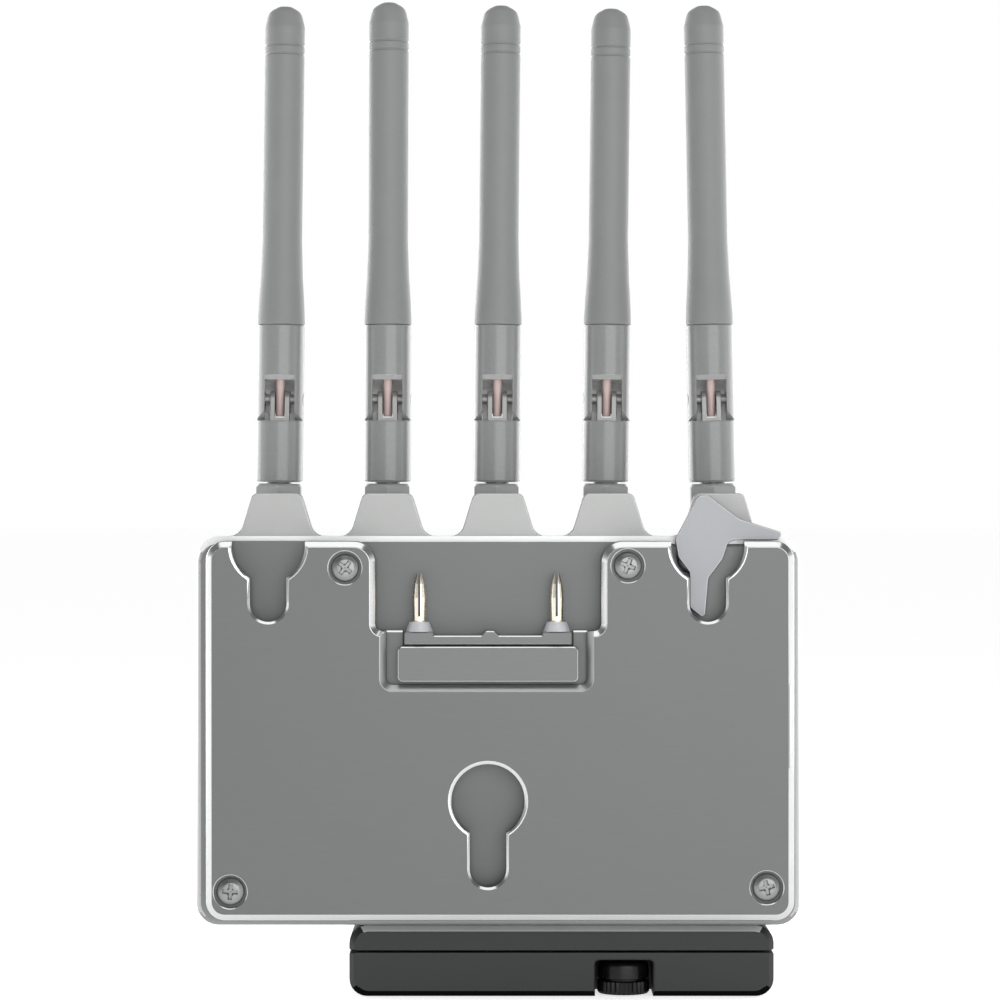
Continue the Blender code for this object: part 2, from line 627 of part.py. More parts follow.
def make_base(i, axis):
    """The lower barrel with the fork and the two trunnions that the whip hinges on."""
    base = turned(f"antenna_{i}_base", [
        (0, BARREL_TOP), (BARREL_R - 0.0005, BARREL_TOP), (BARREL_R, BARREL_TOP - 0.0005),
        (BARREL_R, BARREL_BOTTOM), (0.00245, BARREL_BOTTOM), (0.00245, 0.0093),
        (0.0031, 0.0093), (0.0031, JACK_TOP + GAP), (0, JACK_TOP + GAP),
    ], "gloss", axis, steps=16)
    fork = [(-0.0024, BARREL_TOP - 0.001), (0.0024, BARREL_TOP - 0.001), (0.0016, HINGE_Z - 0.0012)]
    fork += arc(0, HINGE_Z, 0.0016, 0, 180, 6) + [(-0.0016, HINGE_Z - 0.0012)]
    cut(base, slab(f"join_fork_{i}", [fork], -FORK_HALF, FORK_HALF, parent=axis, facing="X"), "UNION")
    pin = rod(f"join_trunnions_{i}", TRUNNION_R, (-TRUNNION_END, 0, HINGE_Z), TRUNNION_END, "X",
              parent=axis, sides=12)
    cut(base, pin, "UNION")
    slot_low = (-COAX_SLOT_HALF, -0.004, HINGE_Z - 0.0036)
    slot_high = (COAX_SLOT_HALF, 0.004, HINGE_Z + 0.003)
    cut(base, box(f"cut_fork_{i}", slot_low, slot_high, parent=axis))
    start = (0, 0, HINGE_Z - 0.0033)
    rod(f"antenna_{i}_coax", COAX_R, start, HINGE_Z + 0.0027, "Z", "coax", axis, sides=10)


def make_whip(i, hinge):
    """The hinged upper part: a slotted knuckle and the rubber sheath pressed on its spigot."""
    shoulder = SHEATH_START - GAP
    knuckle = turned(f"antenna_{i}_knuckle", [
        (0, SHEATH_START + 0.011), (0.0022, SHEATH_START + 0.011), (0.0022, shoulder),
        (BARREL_R - 0.0003, shoulder), (BARREL_R, shoulder - 0.0003), (BARREL_R, -0.0045), (0, -0.0045),
    ], "gloss", hinge, steps=16)
    window = rounded([
        (-0.0062, -0.006, 0), (-0.0062, WINDOW_TOP + 0.0030, 0), (-0.0032, WINDOW_TOP, 0),
        (0.0031, WINDOW_TOP, 0.0024), (0.0031, -0.006, 0),
    ])
    cut(knuckle, slab(f"cut_window_{i}", [window], -CAVITY_HALF, CAVITY_HALF, parent=hinge, facing="X"))
    ends = [(-0.008, 0.0022), (-0.0050, 0.0014)] + arc(0, 0, 0.0037, 190, 350, 8)
    ends += [(0.0050, 0.0014), (0.008, 0.0022), (0.008, -0.008), (-0.008, -0.008)]
    cut(knuckle, slab(f"cut_ends_{i}", [ends], -0.006, 0.006, parent=hinge, facing="X"))
    start = (-0.006, 0, 0)
    cut(knuckle, rod(f"cut_trunnions_{i}", TRUNNION_R + GAP, start, 0.006, "X", parent=hinge, sides=12))
    tip = ANTENNA_LENGTHS[i - 1]
    turned(f"antenna_{i}_sheath", [
        (0, tip), (0.0021, tip - 0.0005), (0.0033, tip - 0.0017), (SHEATH_R, tip - 0.0037),
        (SHEATH_R, 0.0310), (0.0041, 0.0240), (0.0044, 0.0195), (BARREL_R, 0.0152), (BARREL_R, SHEATH_START),
        (0.0025, SHEATH_START), (0.0025, SHEATH_START + 0.0115), (0, SHEATH_START + 0.0115),
    ], "rubber", hinge, steps=16)


def make_antennas():
    for i in range(1, 6):
        make_jack(i)
        axis = empty(f"antenna_{i}_axis", (antenna_x(i - 1), ANTENNA_Y, HOUSING_TOP))
        axis.rotation_euler = (0, math.radians(ANTENNA_LEANS[i - 1]), 0)
        make_nut(i, axis)
        make_base(i, axis)
        make_whip(i, empty(f"antenna_{i}_hinge", (0, 0, HINGE_Z), axis))


# ---------------------------------------------------------------- side sockets


def make_sdi_connectors():
    """Two bayonet video sockets, pointing to -X inside the side pocket."""
    for i, z in enumerate(SDI_HEIGHTS):
        name = f"sdi_connector_{i + 1}"
        socket = turned(name, [
            (0, 0.0060), (0.0020, 0.0060), (0.0020, 0.0018), (0.0040, 0.0018), (0.0040, 0.0084),
            (0.0048, 0.0084), (0.0048, 0.0015), (0.0063, 0.0015), (0.0063, GAP), (0.0047, GAP),
            (0.0047, -0.0050), (0, -0.0050),
        ], "steel", steps=16)
        turn_to_x(socket, (SDI_POCKET_FLOOR, PORT_Y, z), -1)
        for side, low in (("lower", z - 0.0054), ("upper", z + 0.0044)):
            start = (SDI_POCKET_FLOOR - 0.0064, PORT_Y, low)
            cut(socket, rod(f"join_{side}_lug_{i + 1}", LUG_R, start, low + 0.0010, "Z", sides=8), "UNION")


def make_side_controls():
    """The HDMI and power sockets and the slide switch in the right side."""
    right = HOUSING_HALF_W
    half_y, half_z = HDMI_HALF_Y, HDMI_HALF_Z
    outer = rectangle(PORT_Y - half_y, HDMI_Z - half_z, PORT_Y + half_y, HDMI_Z + half_z, 0.0008, 2)
    hdmi = slab("hdmi_socket", [outer], right - 0.0130, right - GAP, "steel", facing="X")
    half_y, half_z = HDMI_HALF_Y - HDMI_SHELL, HDMI_HALF_Z - HDMI_SHELL
    inner = rectangle(PORT_Y - half_y, HDMI_Z - half_z, PORT_Y + half_y, HDMI_Z + half_z, 0.0004, 1)
    cut(hdmi, slab("cut_hdmi_bore", [inner], right - 0.0115, right + 0.001, facing="X"))
    power = turned("power_socket", [
        (0, -0.0080), (0.0036, -0.0080), (0.0036, -GAP), (POWER_R, -GAP), (POWER_R, -0.0120), (0, -0.0120),
    ], "steel", steps=20)
    turn_to_x(power, (right, PORT_Y, POWER_Z), 1)
    axis = empty("switch_axis", (0, 0, SWITCH_Z - SWITCH_TRAVEL / 2))
    grip = rectangle(PORT_Y - 0.0019, -0.0014, PORT_Y + 0.0019, 0.0014, 0.0005, 2)
    handle = slab("power_switch", [grip], right - 0.0060, right - GAP, "gloss", axis, facing="X")
    foot = box("join_switch_foot", (right - 0.0062, PORT_Y - 0.0030, -0.0030),
               (right - 0.0036, PORT_Y + 0.0030, 0.0030), parent=axis)
    cut(handle, foot, "UNION")


# ---------------------------------------------------------------- foot bracket


def make_foot():
    """Two clamped plates under the housing, with a thumb screw in a notch at the rear."""
    upper = rounded([
        (FOOT_LEFT, FOOT_SEAM + 0.00015, 0.0004), (FOOT_RIGHT, FOOT_SEAM + 0.00015, 0.0004),
        (FOOT_RIGHT, FOOT_TOP, FOOT_CORNER), (FOOT_LEFT, FOOT_TOP, FOOT_CORNER),
    ])
    plate = slab("mount_top_plate", [upper], FOOT_REAR, FOOT_FRONT, "foot")
    bevel(plate, 0.0006)
    notch_left, notch_right = KNOB_X - NOTCH_HALF, KNOB_X + NOTCH_HALF
    lower = rounded([
        (FOOT_LEFT, 0, FOOT_CORNER), (FOOT_RIGHT, 0, FOOT_CORNER),
        (FOOT_RIGHT, FOOT_SEAM - 0.00015, 0.0004), (FOOT_LEFT, FOOT_SEAM - 0.00015, 0.0004),
    ])
    base = slab("mount_base", [lower], FOOT_REAR, FOOT_FRONT, "foot")
    bevel(base, 0.0006)
    notch = rectangle(notch_left, -0.002, notch_right, NOTCH_TOP, 0.0008, 2)
    cut(base, slab("cut_notch", [notch], FOOT_REAR - 0.001, KNOB_Y + KNOB_R + 0.0006))
    for part in (plate, base):
        cut(part, rod("cut_clamp_" + part.name, 0.0023, (KNOB_X, KNOB_Y, 0.003), 0.0122, "Z", sides=12))
    cut(base, rod("cut_tripod", TRIPOD_R, (TRIPOD_X, TRIPOD_Y, -0.001), 0.0065, "Z", sides=16))
    for i, x in enumerate(FOOT_SCREWS_X):
        start = (x, FOOT_SCREW_Y, FOOT_SEAM - 0.001)
        cut(plate, rod(f"cut_plate_head_{i + 1}", 0.0032, start, 0.0112, "Z", sides=16))
        name = f"cut_plate_screw_{i + 1}"
        cut(plate, rod(name, FOOT_SCREW_R + GAP, start, FOOT_TOP + 0.001, "Z", sides=12))
        screw = turned(f"mount_screw_{i + 1}", [
            (0, 0.0168), (FOOT_SCREW_R, 0.0168), (FOOT_SCREW_R, 0.0109), (0.0028, 0.0109),
            (0.0028, 0.0091), (0, 0.0091),
        ], "steel", steps=12)
        screw.location = (x, FOOT_SCREW_Y, 0)
    knob = turned("thumb_screw", [
        (0, 0.0118), (0.0020, 0.0118), (0.0020, KNOB_TOP), (KNOB_R - 0.0005, KNOB_TOP),
        (KNOB_R - 0.0003, 0.0040), (KNOB_R, 0.0032), (KNOB_R, 0.0010), (KNOB_R - 0.0006, 0.0004),
        (0, 0.0004),
    ], "foot", steps=20)
    knob.location = (KNOB_X, KNOB_Y, 0)


for old in list(bpy.data.objects):
    bpy.data.objects.remove(old)
PARTS = bpy.data.collections.new("wireless_receiver")
CUTTERS = bpy.data.collections.new("cutters")
bpy.context.scene.collection.children.link(PARTS)
bpy.context.scene.collection.children.link(CUTTERS)

make_housing()
make_cover()
make_internals()
make_battery_plate()
make_terminals()
make_plate_screws()
make_lever()
make_guard()
make_antennas()
make_sdi_connectors()
make_side_controls()
make_foot()
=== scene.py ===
"""Looks of the five-antenna wireless video receiver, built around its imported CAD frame.

Units are metres, in the frame's own axes: the battery plate faces -Y, the cover faces +Y and +Z is up.
"""

import json
import math

import bmesh
import bpy
from mathutils import Matrix, Vector


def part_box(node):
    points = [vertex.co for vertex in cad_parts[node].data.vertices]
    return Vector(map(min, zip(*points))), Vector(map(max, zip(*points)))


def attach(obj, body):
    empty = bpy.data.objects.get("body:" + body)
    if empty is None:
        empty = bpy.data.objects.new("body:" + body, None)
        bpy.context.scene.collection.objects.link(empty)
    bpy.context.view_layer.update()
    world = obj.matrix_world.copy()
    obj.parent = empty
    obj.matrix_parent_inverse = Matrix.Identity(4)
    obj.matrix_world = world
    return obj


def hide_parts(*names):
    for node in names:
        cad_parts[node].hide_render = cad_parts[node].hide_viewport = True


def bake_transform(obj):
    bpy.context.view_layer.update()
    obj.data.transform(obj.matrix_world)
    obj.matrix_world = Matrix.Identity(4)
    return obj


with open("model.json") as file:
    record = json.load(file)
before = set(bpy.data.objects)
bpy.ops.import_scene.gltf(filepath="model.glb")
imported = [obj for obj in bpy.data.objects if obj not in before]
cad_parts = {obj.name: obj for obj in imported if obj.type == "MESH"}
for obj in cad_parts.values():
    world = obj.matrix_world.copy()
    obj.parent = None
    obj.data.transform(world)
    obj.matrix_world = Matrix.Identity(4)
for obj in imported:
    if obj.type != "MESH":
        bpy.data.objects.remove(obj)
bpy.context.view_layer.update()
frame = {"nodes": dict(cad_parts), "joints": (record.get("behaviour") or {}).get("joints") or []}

TINY = 0.00001
AIR = 0.0003
BUMP_DEPTH = 0.00002
ANTENNAS = range(1, 6)

# Battery interface, on the plate's centre line
STUD_SPREAD = 0.0418
UPPER_STUD_Z = 0.0870
LOWER_STUD_Z = 0.0385
UPPER_SLOT_END = 0.0725
LOWER_SLOT_END = 0.0220
STUD_HEAD_R = 0.0070
SLOT_HALF = 0.0035
HEAD_RIM = 0.00064
SLOT_RIM = 0.00048
RIM_DEPTH = 0.00036
PIN_COLLAR_Z = 0.0727
PIN_SEAT_Z = 0.07063

# Plate and its recess
PLATE_CORNER = 0.0036
PLATE_EDGE = 0.00118
PLATE_SKIN = 0.0030
RECESS_LEFT = -0.0233
RECESS_RIGHT = 0.0196
RECESS_BOTTOM = 0.0708
RECESS_FLOOR = -0.0124
TRAY_LEFT = -0.0212
TRAY_RIGHT = 0.0169
TRAY_BOTTOM = 0.0606
TRAY_SLOPE = 0.0014
TRAY_DEPTH = 0.0026
PLATE_SCREWS = range(1, 5)

HOUSING_CORNER = 0.0043
HOUSING_EDGE = 0.0014
WALL = 0.0022

# Antenna guard, and the rail on the housing below it
LOBE_PITCH = 0.02125
RAIL_START = 34
RAIL_DROP = 0.0006

# Antenna sizes, along its own axis from the folding hinge
BARREL_R = 0.0046
SHEATH_R = 0.00386
SHEATH_START = 0.0145
HINGE_ABOVE_HOUSING = 0.0275

# Foot
FOOT_CORNER = 0.00345
FOOT_EDGE = 0.0011
KNOB_R = 0.00505

# Studio
FLOOR_RADIUS = 12.0
CAMERA_PLACE = (0.00038, -0.738, 0.0957)
CAMERA_LENS = 136.4

# --- materials


def node(tree, kind, **values):
    """A shader node with its plain settings and unlinked inputs filled in."""
    made = tree.nodes.new(kind)
    for key, value in values.items():
        if hasattr(made, key):
            setattr(made, key, value)
        else:
            made.inputs[key.replace("_", " ")].default_value = value
    return made


def noise(tree, place, scale, detail=3.0, stretch=(1, 1, 1)):
    """A noise field in object space, stretched along the axes."""
    mapping = node(tree, "ShaderNodeMapping")
    mapping.inputs["Scale"].default_value = stretch
    tree.links.new(place.outputs["Object"], mapping.inputs["Vector"])
    field = node(tree, "ShaderNodeTexNoise", Scale=scale, Detail=detail, Roughness=0.6)
    tree.links.new(mapping.outputs["Vector"], field.inputs["Vector"])
    return field.outputs["Fac"]


def spread(tree, field, low, high):
    """A noise field's middle half, mapped to a range."""
    mapped = node(tree, "ShaderNodeMapRange", From_Min=0.3, From_Max=0.7, To_Min=low, To_Max=high)
    tree.links.new(field, mapped.inputs["Value"])
    return mapped.outputs["Result"]


def shades(tree, field, dark, light):
    """A noise field's middle part, mapped to colours between two shades."""
    ramp = node(tree, "ShaderNodeValToRGB")
    ramp.color_ramp.elements[0].position = 0.32
    ramp.color_ramp.elements[1].position = 0.68
    ramp.color_ramp.elements[0].color = (*dark, 1)
    ramp.color_ramp.elements[1].color = (*light, 1)
    tree.links.new(field, ramp.inputs["Fac"])
    return ramp.outputs["Color"]


def material(name, colour, roughness, metallic=0.0, variation=0.05, blotch=60, grain=3000,
             stretch=(1, 1, 1), rough_range=0.06, bump=0.15, dust=0.0, **fixed):
    """A finish with blotches and grain in its colour, grain in its roughness and a fine bump."""
    made = bpy.data.materials.new(name)
    made.use_nodes = True
    tree = made.node_tree
    shader = tree.nodes["Principled BSDF"]
    shader.inputs["Metallic"].default_value = metallic
    for key, value in fixed.items():
        shader.inputs[key.replace("_", " ")].default_value = value
    place = node(tree, "ShaderNodeTexCoord")
    broad = noise(tree, place, blotch, 4.0)
    fine = noise(tree, place, grain, 2.0, stretch)
    dark = [c * (1 - variation) for c in colour]
    light = [min(1.0, c * (1 + variation) + dust) for c in colour]
    both = node(tree, "ShaderNodeMath", operation="MULTIPLY_ADD")
    both.inputs[1].default_value = 0.55
    tree.links.new(fine, both.inputs[0])
    half = node(tree, "ShaderNodeMath", operation="MULTIPLY")
    half.inputs[1].default_value = 0.45
    tree.links.new(broad, half.inputs[0])
    tree.links.new(half.outputs[0], both.inputs[2])
    tree.links.new(shades(tree, both.outputs[0], dark, light), shader.inputs["Base Color"])
    rough = spread(tree, both.outputs[0], roughness - rough_range, roughness + rough_range)
    tree.links.new(rough, shader.inputs["Roughness"])
    relief = node(tree, "ShaderNodeBump", Strength=bump, Distance=BUMP_DEPTH)
    tree.links.new(fine, relief.inputs["Height"])
    tree.links.new(relief.outputs["Normal"], shader.inputs["Normal"])
    return made


def circuit_material():
    """Green solder mask with copper tracks and pads showing through it."""
    made = material("circuit", (0.03, 0.15, 0.07), 0.4, variation=0.15, grain=900)
    tree = made.node_tree
    shader = tree.nodes["Principled BSDF"]
    place = node(tree, "ShaderNodeTexCoord")
    bricks = node(tree, "ShaderNodeTexBrick", Scale=220.0, Mortar_Size=0.03)
    bricks.inputs["Color1"].default_value = (0.02, 0.12, 0.05, 1)
    bricks.inputs["Color2"].default_value = (0.03, 0.18, 0.08, 1)
    bricks.inputs["Mortar"].default_value = (0.10, 0.34, 0.16, 1)
    tree.links.new(place.outputs["Object"], bricks.inputs["Vector"])
    tree.links.new(bricks.outputs["Color"], shader.inputs["Base Color"])
    return made


def make_materials():
    """Every finish, by name."""
    streaks = (0.04, 1, 1)
    made = {}

    def add(name, *values, **settings):
        made[name] = material(name, *values, **settings)

    add("paint", (0.235, 0.24, 0.238), 0.42, 0.35, grain=2600, bump=0.25)
    add("paint_edge", (0.44, 0.45, 0.445), 0.32, 0.5, grain=2600)
    add("plate", (0.138, 0.142, 0.142), 0.40, 0.45, 0.05, 45, 5200, streaks, bump=0.08)
    add("plate_edge", (0.55, 0.555, 0.555), 0.2, 1.0, 0.04, 120, 2500, streaks, bump=0.05)
    add("slope", (0.36, 0.365, 0.365), 0.34, 0.8, 0.05, 45, 5200, streaks, bump=0.06)
    add("panel", (0.155, 0.16, 0.16), 0.38, 0.45, 0.05, 45, 5200, streaks, bump=0.08)
    # Much lighter than the guard alloy: painted light for the lit band along the housing's top edge.
    add("rail", (0.66, 0.67, 0.665), 0.4, 0.7, 0.05, 90, 4200, bump=0.2)
    add("alloy", (0.38, 0.385, 0.38), 0.48, 0.6, 0.08, 90, 4200, bump=0.4)
    add("alloy_edge", (0.46, 0.47, 0.47), 0.36, 0.8, 0.05, 90, 3000)
    add("lever", (0.295, 0.303, 0.316), 0.42, 0.6, 0.04, 60, 3600, bump=0.12)
    add("lever_edge", (0.50, 0.51, 0.525), 0.32, 0.8, 0.04, 60, 3600)
    add("rubber", (0.20, 0.205, 0.205), 0.52, 0.0, 0.05, 140, 3800, bump=0.3, Sheen_Weight=0.25,
        Sheen_Roughness=0.4)
    add("gloss", (0.22, 0.225, 0.225), 0.2, 0.0, 0.05, 200, 2000, rough_range=0.04, bump=0.04,
        Sheen_Weight=0.7, Sheen_Roughness=0.35)
    # Lighter than the barrel's gloss: painted light that lifts the shade on the coupling nut.
    add("nut", (0.33, 0.335, 0.335), 0.24, 0.0, 0.05, 200, 2000, rough_range=0.04, bump=0.04,
        Sheen_Weight=0.5, Sheen_Roughness=0.35)
    # Light colour for the faces inside the knuckle's window: painted light that lifts the shade in the slot.
    add("window_painted_light", (0.66, 0.66, 0.655), 0.4, 0.2, 0.06, 300, 5000, bump=0.1)
    add("steel", (0.50, 0.505, 0.505), 0.3, 1.0, 0.06, 300, 5000, bump=0.12)
    add("screw", (0.27, 0.275, 0.275), 0.34, 0.9, 0.08, 400, 5000, bump=0.15)
    add("nickel", (0.30, 0.30, 0.295), 0.4, 0.6, 0.06, 300, 5000, bump=0.1)
    add("gold", (0.95, 0.87, 0.74), 0.26, 1.0, 0.06, 400, 5000, bump=0.08)
    add("foot", (0.012, 0.0135, 0.013), 0.5, 0.1, 0.12, 90, 5200, bump=0.3, dust=0.001)
    # Lighter finish for the foot's top front chamfer: a painted highlight where the top light falls, not
    # wear.
    add("foot_top_painted_highlight", (0.46, 0.465, 0.46), 0.5, 0.2, 0.10, 90, 5200, bump=0.3)
    # Near-black, barely reflective finish for the foot's bottom chamfer: painted shade on the underside edge.
    add("foot_bottom_painted_shade", (0.0012, 0.0012, 0.0012), 0.8, 0.0, 0.10, 90, 5200, Specular_IOR_Level=0.03)
    add("knob", (0.003, 0.003, 0.003), 0.3, 0.0, 0.2, 200, 3000, Specular_IOR_Level=0.3)
    add("control", (0.05, 0.05, 0.052), 0.5, 0.0, 0.1, 150, 3000, bump=0.3)
    add("glass", (0.012, 0.014, 0.018), 0.06, 0.0, 0.1, 40, 1500, rough_range=0.02, bump=0.01,
        Coat_Weight=1.0, Coat_Roughness=0.03)
    add("pixels", (0.55, 0.72, 0.80), 0.4, 0.0, 0.05, 200, 3000, Emission_Strength=0.5,
        Emission_Color=(0.5, 0.75, 0.9, 1))
    add("coax", (0.58, 0.45, 0.43), 0.45, 0.0, 0.08, 300, 3000)
    add("seat", (0.58, 0.59, 0.61), 0.4, 0.3, 0.05, 300, 3000)
    add("insulator", (0.62, 0.61, 0.58), 0.4, 0.0, 0.05, 300, 3000)
    add("spring", (0.5, 0.5, 0.49), 0.3, 1.0, 0.06, 300, 5000)
    made["circuit"] = circuit_material()
    return made


# --- outlines


def arc(cx, cz, radius, first, last, steps):
    """Points on a circle between two angles in degrees."""
    angles = [math.radians(first + (last - first) * i / steps) for i in range(steps + 1)]
    return [(cx + radius * math.cos(a), cz + radius * math.sin(a)) for a in angles]


def heading(a, b):
    """The unit direction from one point to another."""
    length = math.hypot(b[0] - a[0], b[1] - a[1])
    return (b[0] - a[0]) / length, (b[1] - a[1]) / length


def rounded(corners, steps=6):
    """A closed outline whose corners (x, z, radius) are replaced by arcs."""
    points = []
    for i, (x, z, radius) in enumerate(corners):
        if not radius:
            points.append((x, z))
            continue
        u = heading((x, z), corners[i - 1])
        v = heading((x, z), corners[(i + 1) % len(corners)])
        half = math.acos(max(-1, min(1, u[0] * v[0] + u[1] * v[1]))) / 2
        tangent = radius / math.tan(half)
        middle = heading((0, 0), (u[0] + v[0], u[1] + v[1]))
        cx = x + middle[0] * radius / math.sin(half)
        cz = z + middle[1] * radius / math.sin(half)
        first = math.atan2(z + u[1] * tangent - cz, x + u[0] * tangent - cx)
        last = math.atan2(z + v[1] * tangent - cz, x + v[0] * tangent - cx)
        sweep = (last - first + math.pi) % (2 * math.pi) - math.pi
        points += arc(cx, cz, radius, math.degrees(first), math.degrees(first + sweep), steps)
    return points


def rectangle(left, bottom, right, top, radius=0.0, steps=6):
    corners = ((left, bottom), (right, bottom), (right, top), (left, top))
    return rounded([(x, z, radius) for x, z in corners], steps)


def inset(loop, margin):
    """The same closed outline moved inwards by a margin, or outwards by a negative one."""
    following = loop[1:] + loop[:1]
    area = sum(a[0] * b[1] - b[0] * a[1] for a, b in zip(loop, following))
    side = 1 if area > 0 else -1
    moved = []
    for before, point, after in zip(loop[-1:] + loop[:-1], loop, following):
        u = heading(before, point)
        v = heading(point, after)
        reach = side * margin / (1 + u[0] * v[0] + u[1] * v[1])
        moved.append((point[0] - (u[1] + v[1]) * reach, point[1] + (u[0] + v[0]) * reach))
    return moved


def edge_steps(width, steps=3):
    """(depth, margin) pairs from a face to its side: a quarter round, or a chamfer for 0 steps."""
    if not width:
        return [(0.0, 0.0)]
    if not steps:
        return [(0.0, width), (width * 0.08, width * 0.86), (width * 0.86, width * 0.08), (width, 0.0)]
    angles = [math.pi / 2 * i / steps for i in range(steps + 1)]
    return [(width * (1 - math.cos(a)), width * (1 - math.sin(a))) for a in angles]


# --- solids


def linked(name, solid):
    """An object from a finished bmesh, its faces turned outwards."""
    bmesh.ops.recalc_face_normals(solid, faces=solid.faces)
    mesh = bpy.data.meshes.new(name)
    solid.to_mesh(mesh)
    solid.free()
    made = bpy.data.objects.new(name, mesh)
    bpy.context.scene.collection.objects.link(made)
    return made


def stack(name, levels, facing="Y"):
    """A closed solid through (depth, outline) levels with the same number of points in each."""
    solid = bmesh.new()
    rings = []
    for depth, loop in levels:
        places = {
            "X": [(depth, a, b) for a, b in loop],
            "Y": [(a, depth, b) for a, b in loop],
            "Z": [(a, b, depth) for a, b in loop],
        }[facing]
        rings.append([solid.verts.new(place) for place in places])
    for a, b in zip(rings, rings[1:]):
        for i in range(len(a)):
            solid.faces.new((a[i - 1], a[i], b[i], b[i - 1]))
    solid.faces.new(rings[0])
    solid.faces.new(rings[-1])
    return linked(name, solid)


def slab(name, loop, near, far, near_edge=0.0, far_edge=0.0, facing="Y", steps=3):
    """An outline extruded from near to far, with its edges rounded over by the given widths."""
    way = 1 if far > near else -1
    levels = [(near + way * d, inset(loop, m)) for d, m in edge_steps(near_edge, steps)]
    levels += [(far - way * d, inset(loop, m)) for d, m in reversed(edge_steps(far_edge, steps))]
    return stack(name, levels, facing)


def pit(loop, face, floor, flare=0.0, facing="Y", steps=3):
    """A cutter for a hole that starts at a face, its rim rounded over by the flare."""
    way = 1 if floor > face else -1
    levels = [(face - way * 0.001, inset(loop, -flare))]
    if flare:
        levels += [(face + way * (d - TINY), inset(loop, -m)) for d, m in edge_steps(flare, steps)]
    levels.append((floor, loop))
    return stack("cutter", levels, facing)


def circle(a, b, radius, steps=32):
    return arc(a, b, radius, 0, 360 * (steps - 1) / steps, steps - 1)


def turned(name, corners, steps=48, shape=None, softness=3):
    """A closed profile of (radius, height, rounding) corners turned about Z; shape may vary the radius."""
    profile = rounded(corners, softness)
    solid = bmesh.new()
    rings = []
    for radius, height in profile:
        if radius < TINY:
            rings.append([solid.verts.new((0, 0, height))])
            continue
        ring = []
        for k in range(steps):
            angle = 2 * math.pi * k / steps
            r = shape(radius, height, angle) if shape else radius
            ring.append(solid.verts.new((r * math.cos(angle), r * math.sin(angle), height)))
        rings.append(ring)
    for a, b in zip(rings[-1:] + rings[:-1], rings):
        if len(a) == 1 and len(b) == 1:
            continue
        for k in range(steps):
            corner_set = [a[(k - 1) % len(a)], a[k % len(a)], b[k % len(b)], b[(k - 1) % len(b)]]
            solid.faces.new(list(dict.fromkeys(corner_set)))
    return linked(name, solid)


def rod(name, radius, top, bottom, top_edge=0.0, bottom_edge=0.0, steps=48):
    """A cylinder along Z whose two rims may be rounded."""
    corners = [(0, top, 0), (radius, top, top_edge), (radius, bottom, bottom_edge), (0, bottom, 0)]
    return turned(name, corners, steps)


def tube(name, path, radius):
    """A round wire along a smooth path, closed at both ends."""
    curve = bpy.data.curves.new(name, "CURVE")
    curve.dimensions = "3D"
    curve.bevel_depth = radius
    curve.bevel_resolution = 4
    curve.use_fill_caps = True
    spline = curve.splines.new("POLY")
    spline.points.add(len(path) - 1)
    for point, place in zip(spline.points, path):
        point.co = (*place, 1)
    drawn = bpy.data.objects.new(name, curve)
    bpy.context.scene.collection.objects.link(drawn)
    view = bpy.context.evaluated_depsgraph_get()
    mesh = bpy.data.meshes.new_from_object(drawn.evaluated_get(view))
    bpy.data.objects.remove(drawn)
    made = bpy.data.objects.new(name, mesh)
    bpy.context.scene.collection.objects.link(made)
    return made


def carve(target, *tools, operation="DIFFERENCE"):
    """Cut the tools out of the target, or join them to it, and drop the tools."""
    for tool in tools:
        step = target.modifiers.new("step", "BOOLEAN")
        step.operation = operation
        step.object = tool
        step.solver = "EXACT"
    view = bpy.context.evaluated_depsgraph_get()
    mesh = bpy.data.meshes.new_from_object(target.evaluated_get(view))
    target.modifiers.clear()
    target.data = mesh
    for tool in tools:
        bpy.data.objects.remove(tool)


def placed(made, matrix):
    made.data.transform(matrix)
    return made


def joined(name, pieces):
    """One object from several, which may touch but share nothing."""
    solid = bmesh.new()
    for piece in pieces:
        solid.from_mesh(piece.data)
        bpy.data.objects.remove(piece)
    return linked(name, solid)


def centre(name):
    """The middle of a CAD node's box."""
    return [(a + b) / 2 for a, b in zip(*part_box(name))]


def joint(name):
    return next(j for j in frame["joints"] if j["name"] == name)


def slanted(face):
    """Whether a face is part of a rounded or chamfered edge between a Y face and a side."""
    return 0.12 < abs(face.normal.y) < 0.985


def finish(piece, kind, where):
    """Give the faces that a test picks a further finish."""
    piece.data.materials.append(MATERIALS[kind])
    index = len(piece.data.materials) - 1
    for face in piece.data.polygons:
        if where(face):
            face.material_index = index


def settle(piece, body, slot, kind, *nodes, edge=None, where=slanted, crease=35):
    """Give a piece its finish, its edge finish where the test says so and its body, and hide the CAD nodes it
    stands for.
    """
    piece.data.materials.clear()
    piece.data.materials.append(MATERIALS[kind])
    if edge:
        finish(piece, edge, where)
    piece.data.shade_smooth()
    piece.data.set_sharp_from_angle(angle=math.radians(crease))
    piece.modifiers.new("even_shading", "WEIGHTED_NORMAL").keep_sharp = True
    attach(piece, body)
    if nodes:
        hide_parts(*nodes)
    return piece


def to_rear(x, y, z):
    """Places a turned piece with its top pointing to -Y."""
    return Matrix.Translation((x, y, z)) @ Matrix.Rotation(math.pi / 2, 4, "X")


def to_front(x, y, z):
    """Places a turned piece with its top pointing to +Y."""
    return Matrix.Translation((x, y, z)) @ Matrix.Rotation(-math.pi / 2, 4, "X")


def to_side(x, y, z, way):
    """Places a turned piece with its top pointing to +X or -X."""
    return Matrix.Translation((x, y, z)) @ Matrix.Rotation(way * math.pi / 2, 4, "Y")


# --- housing and cover


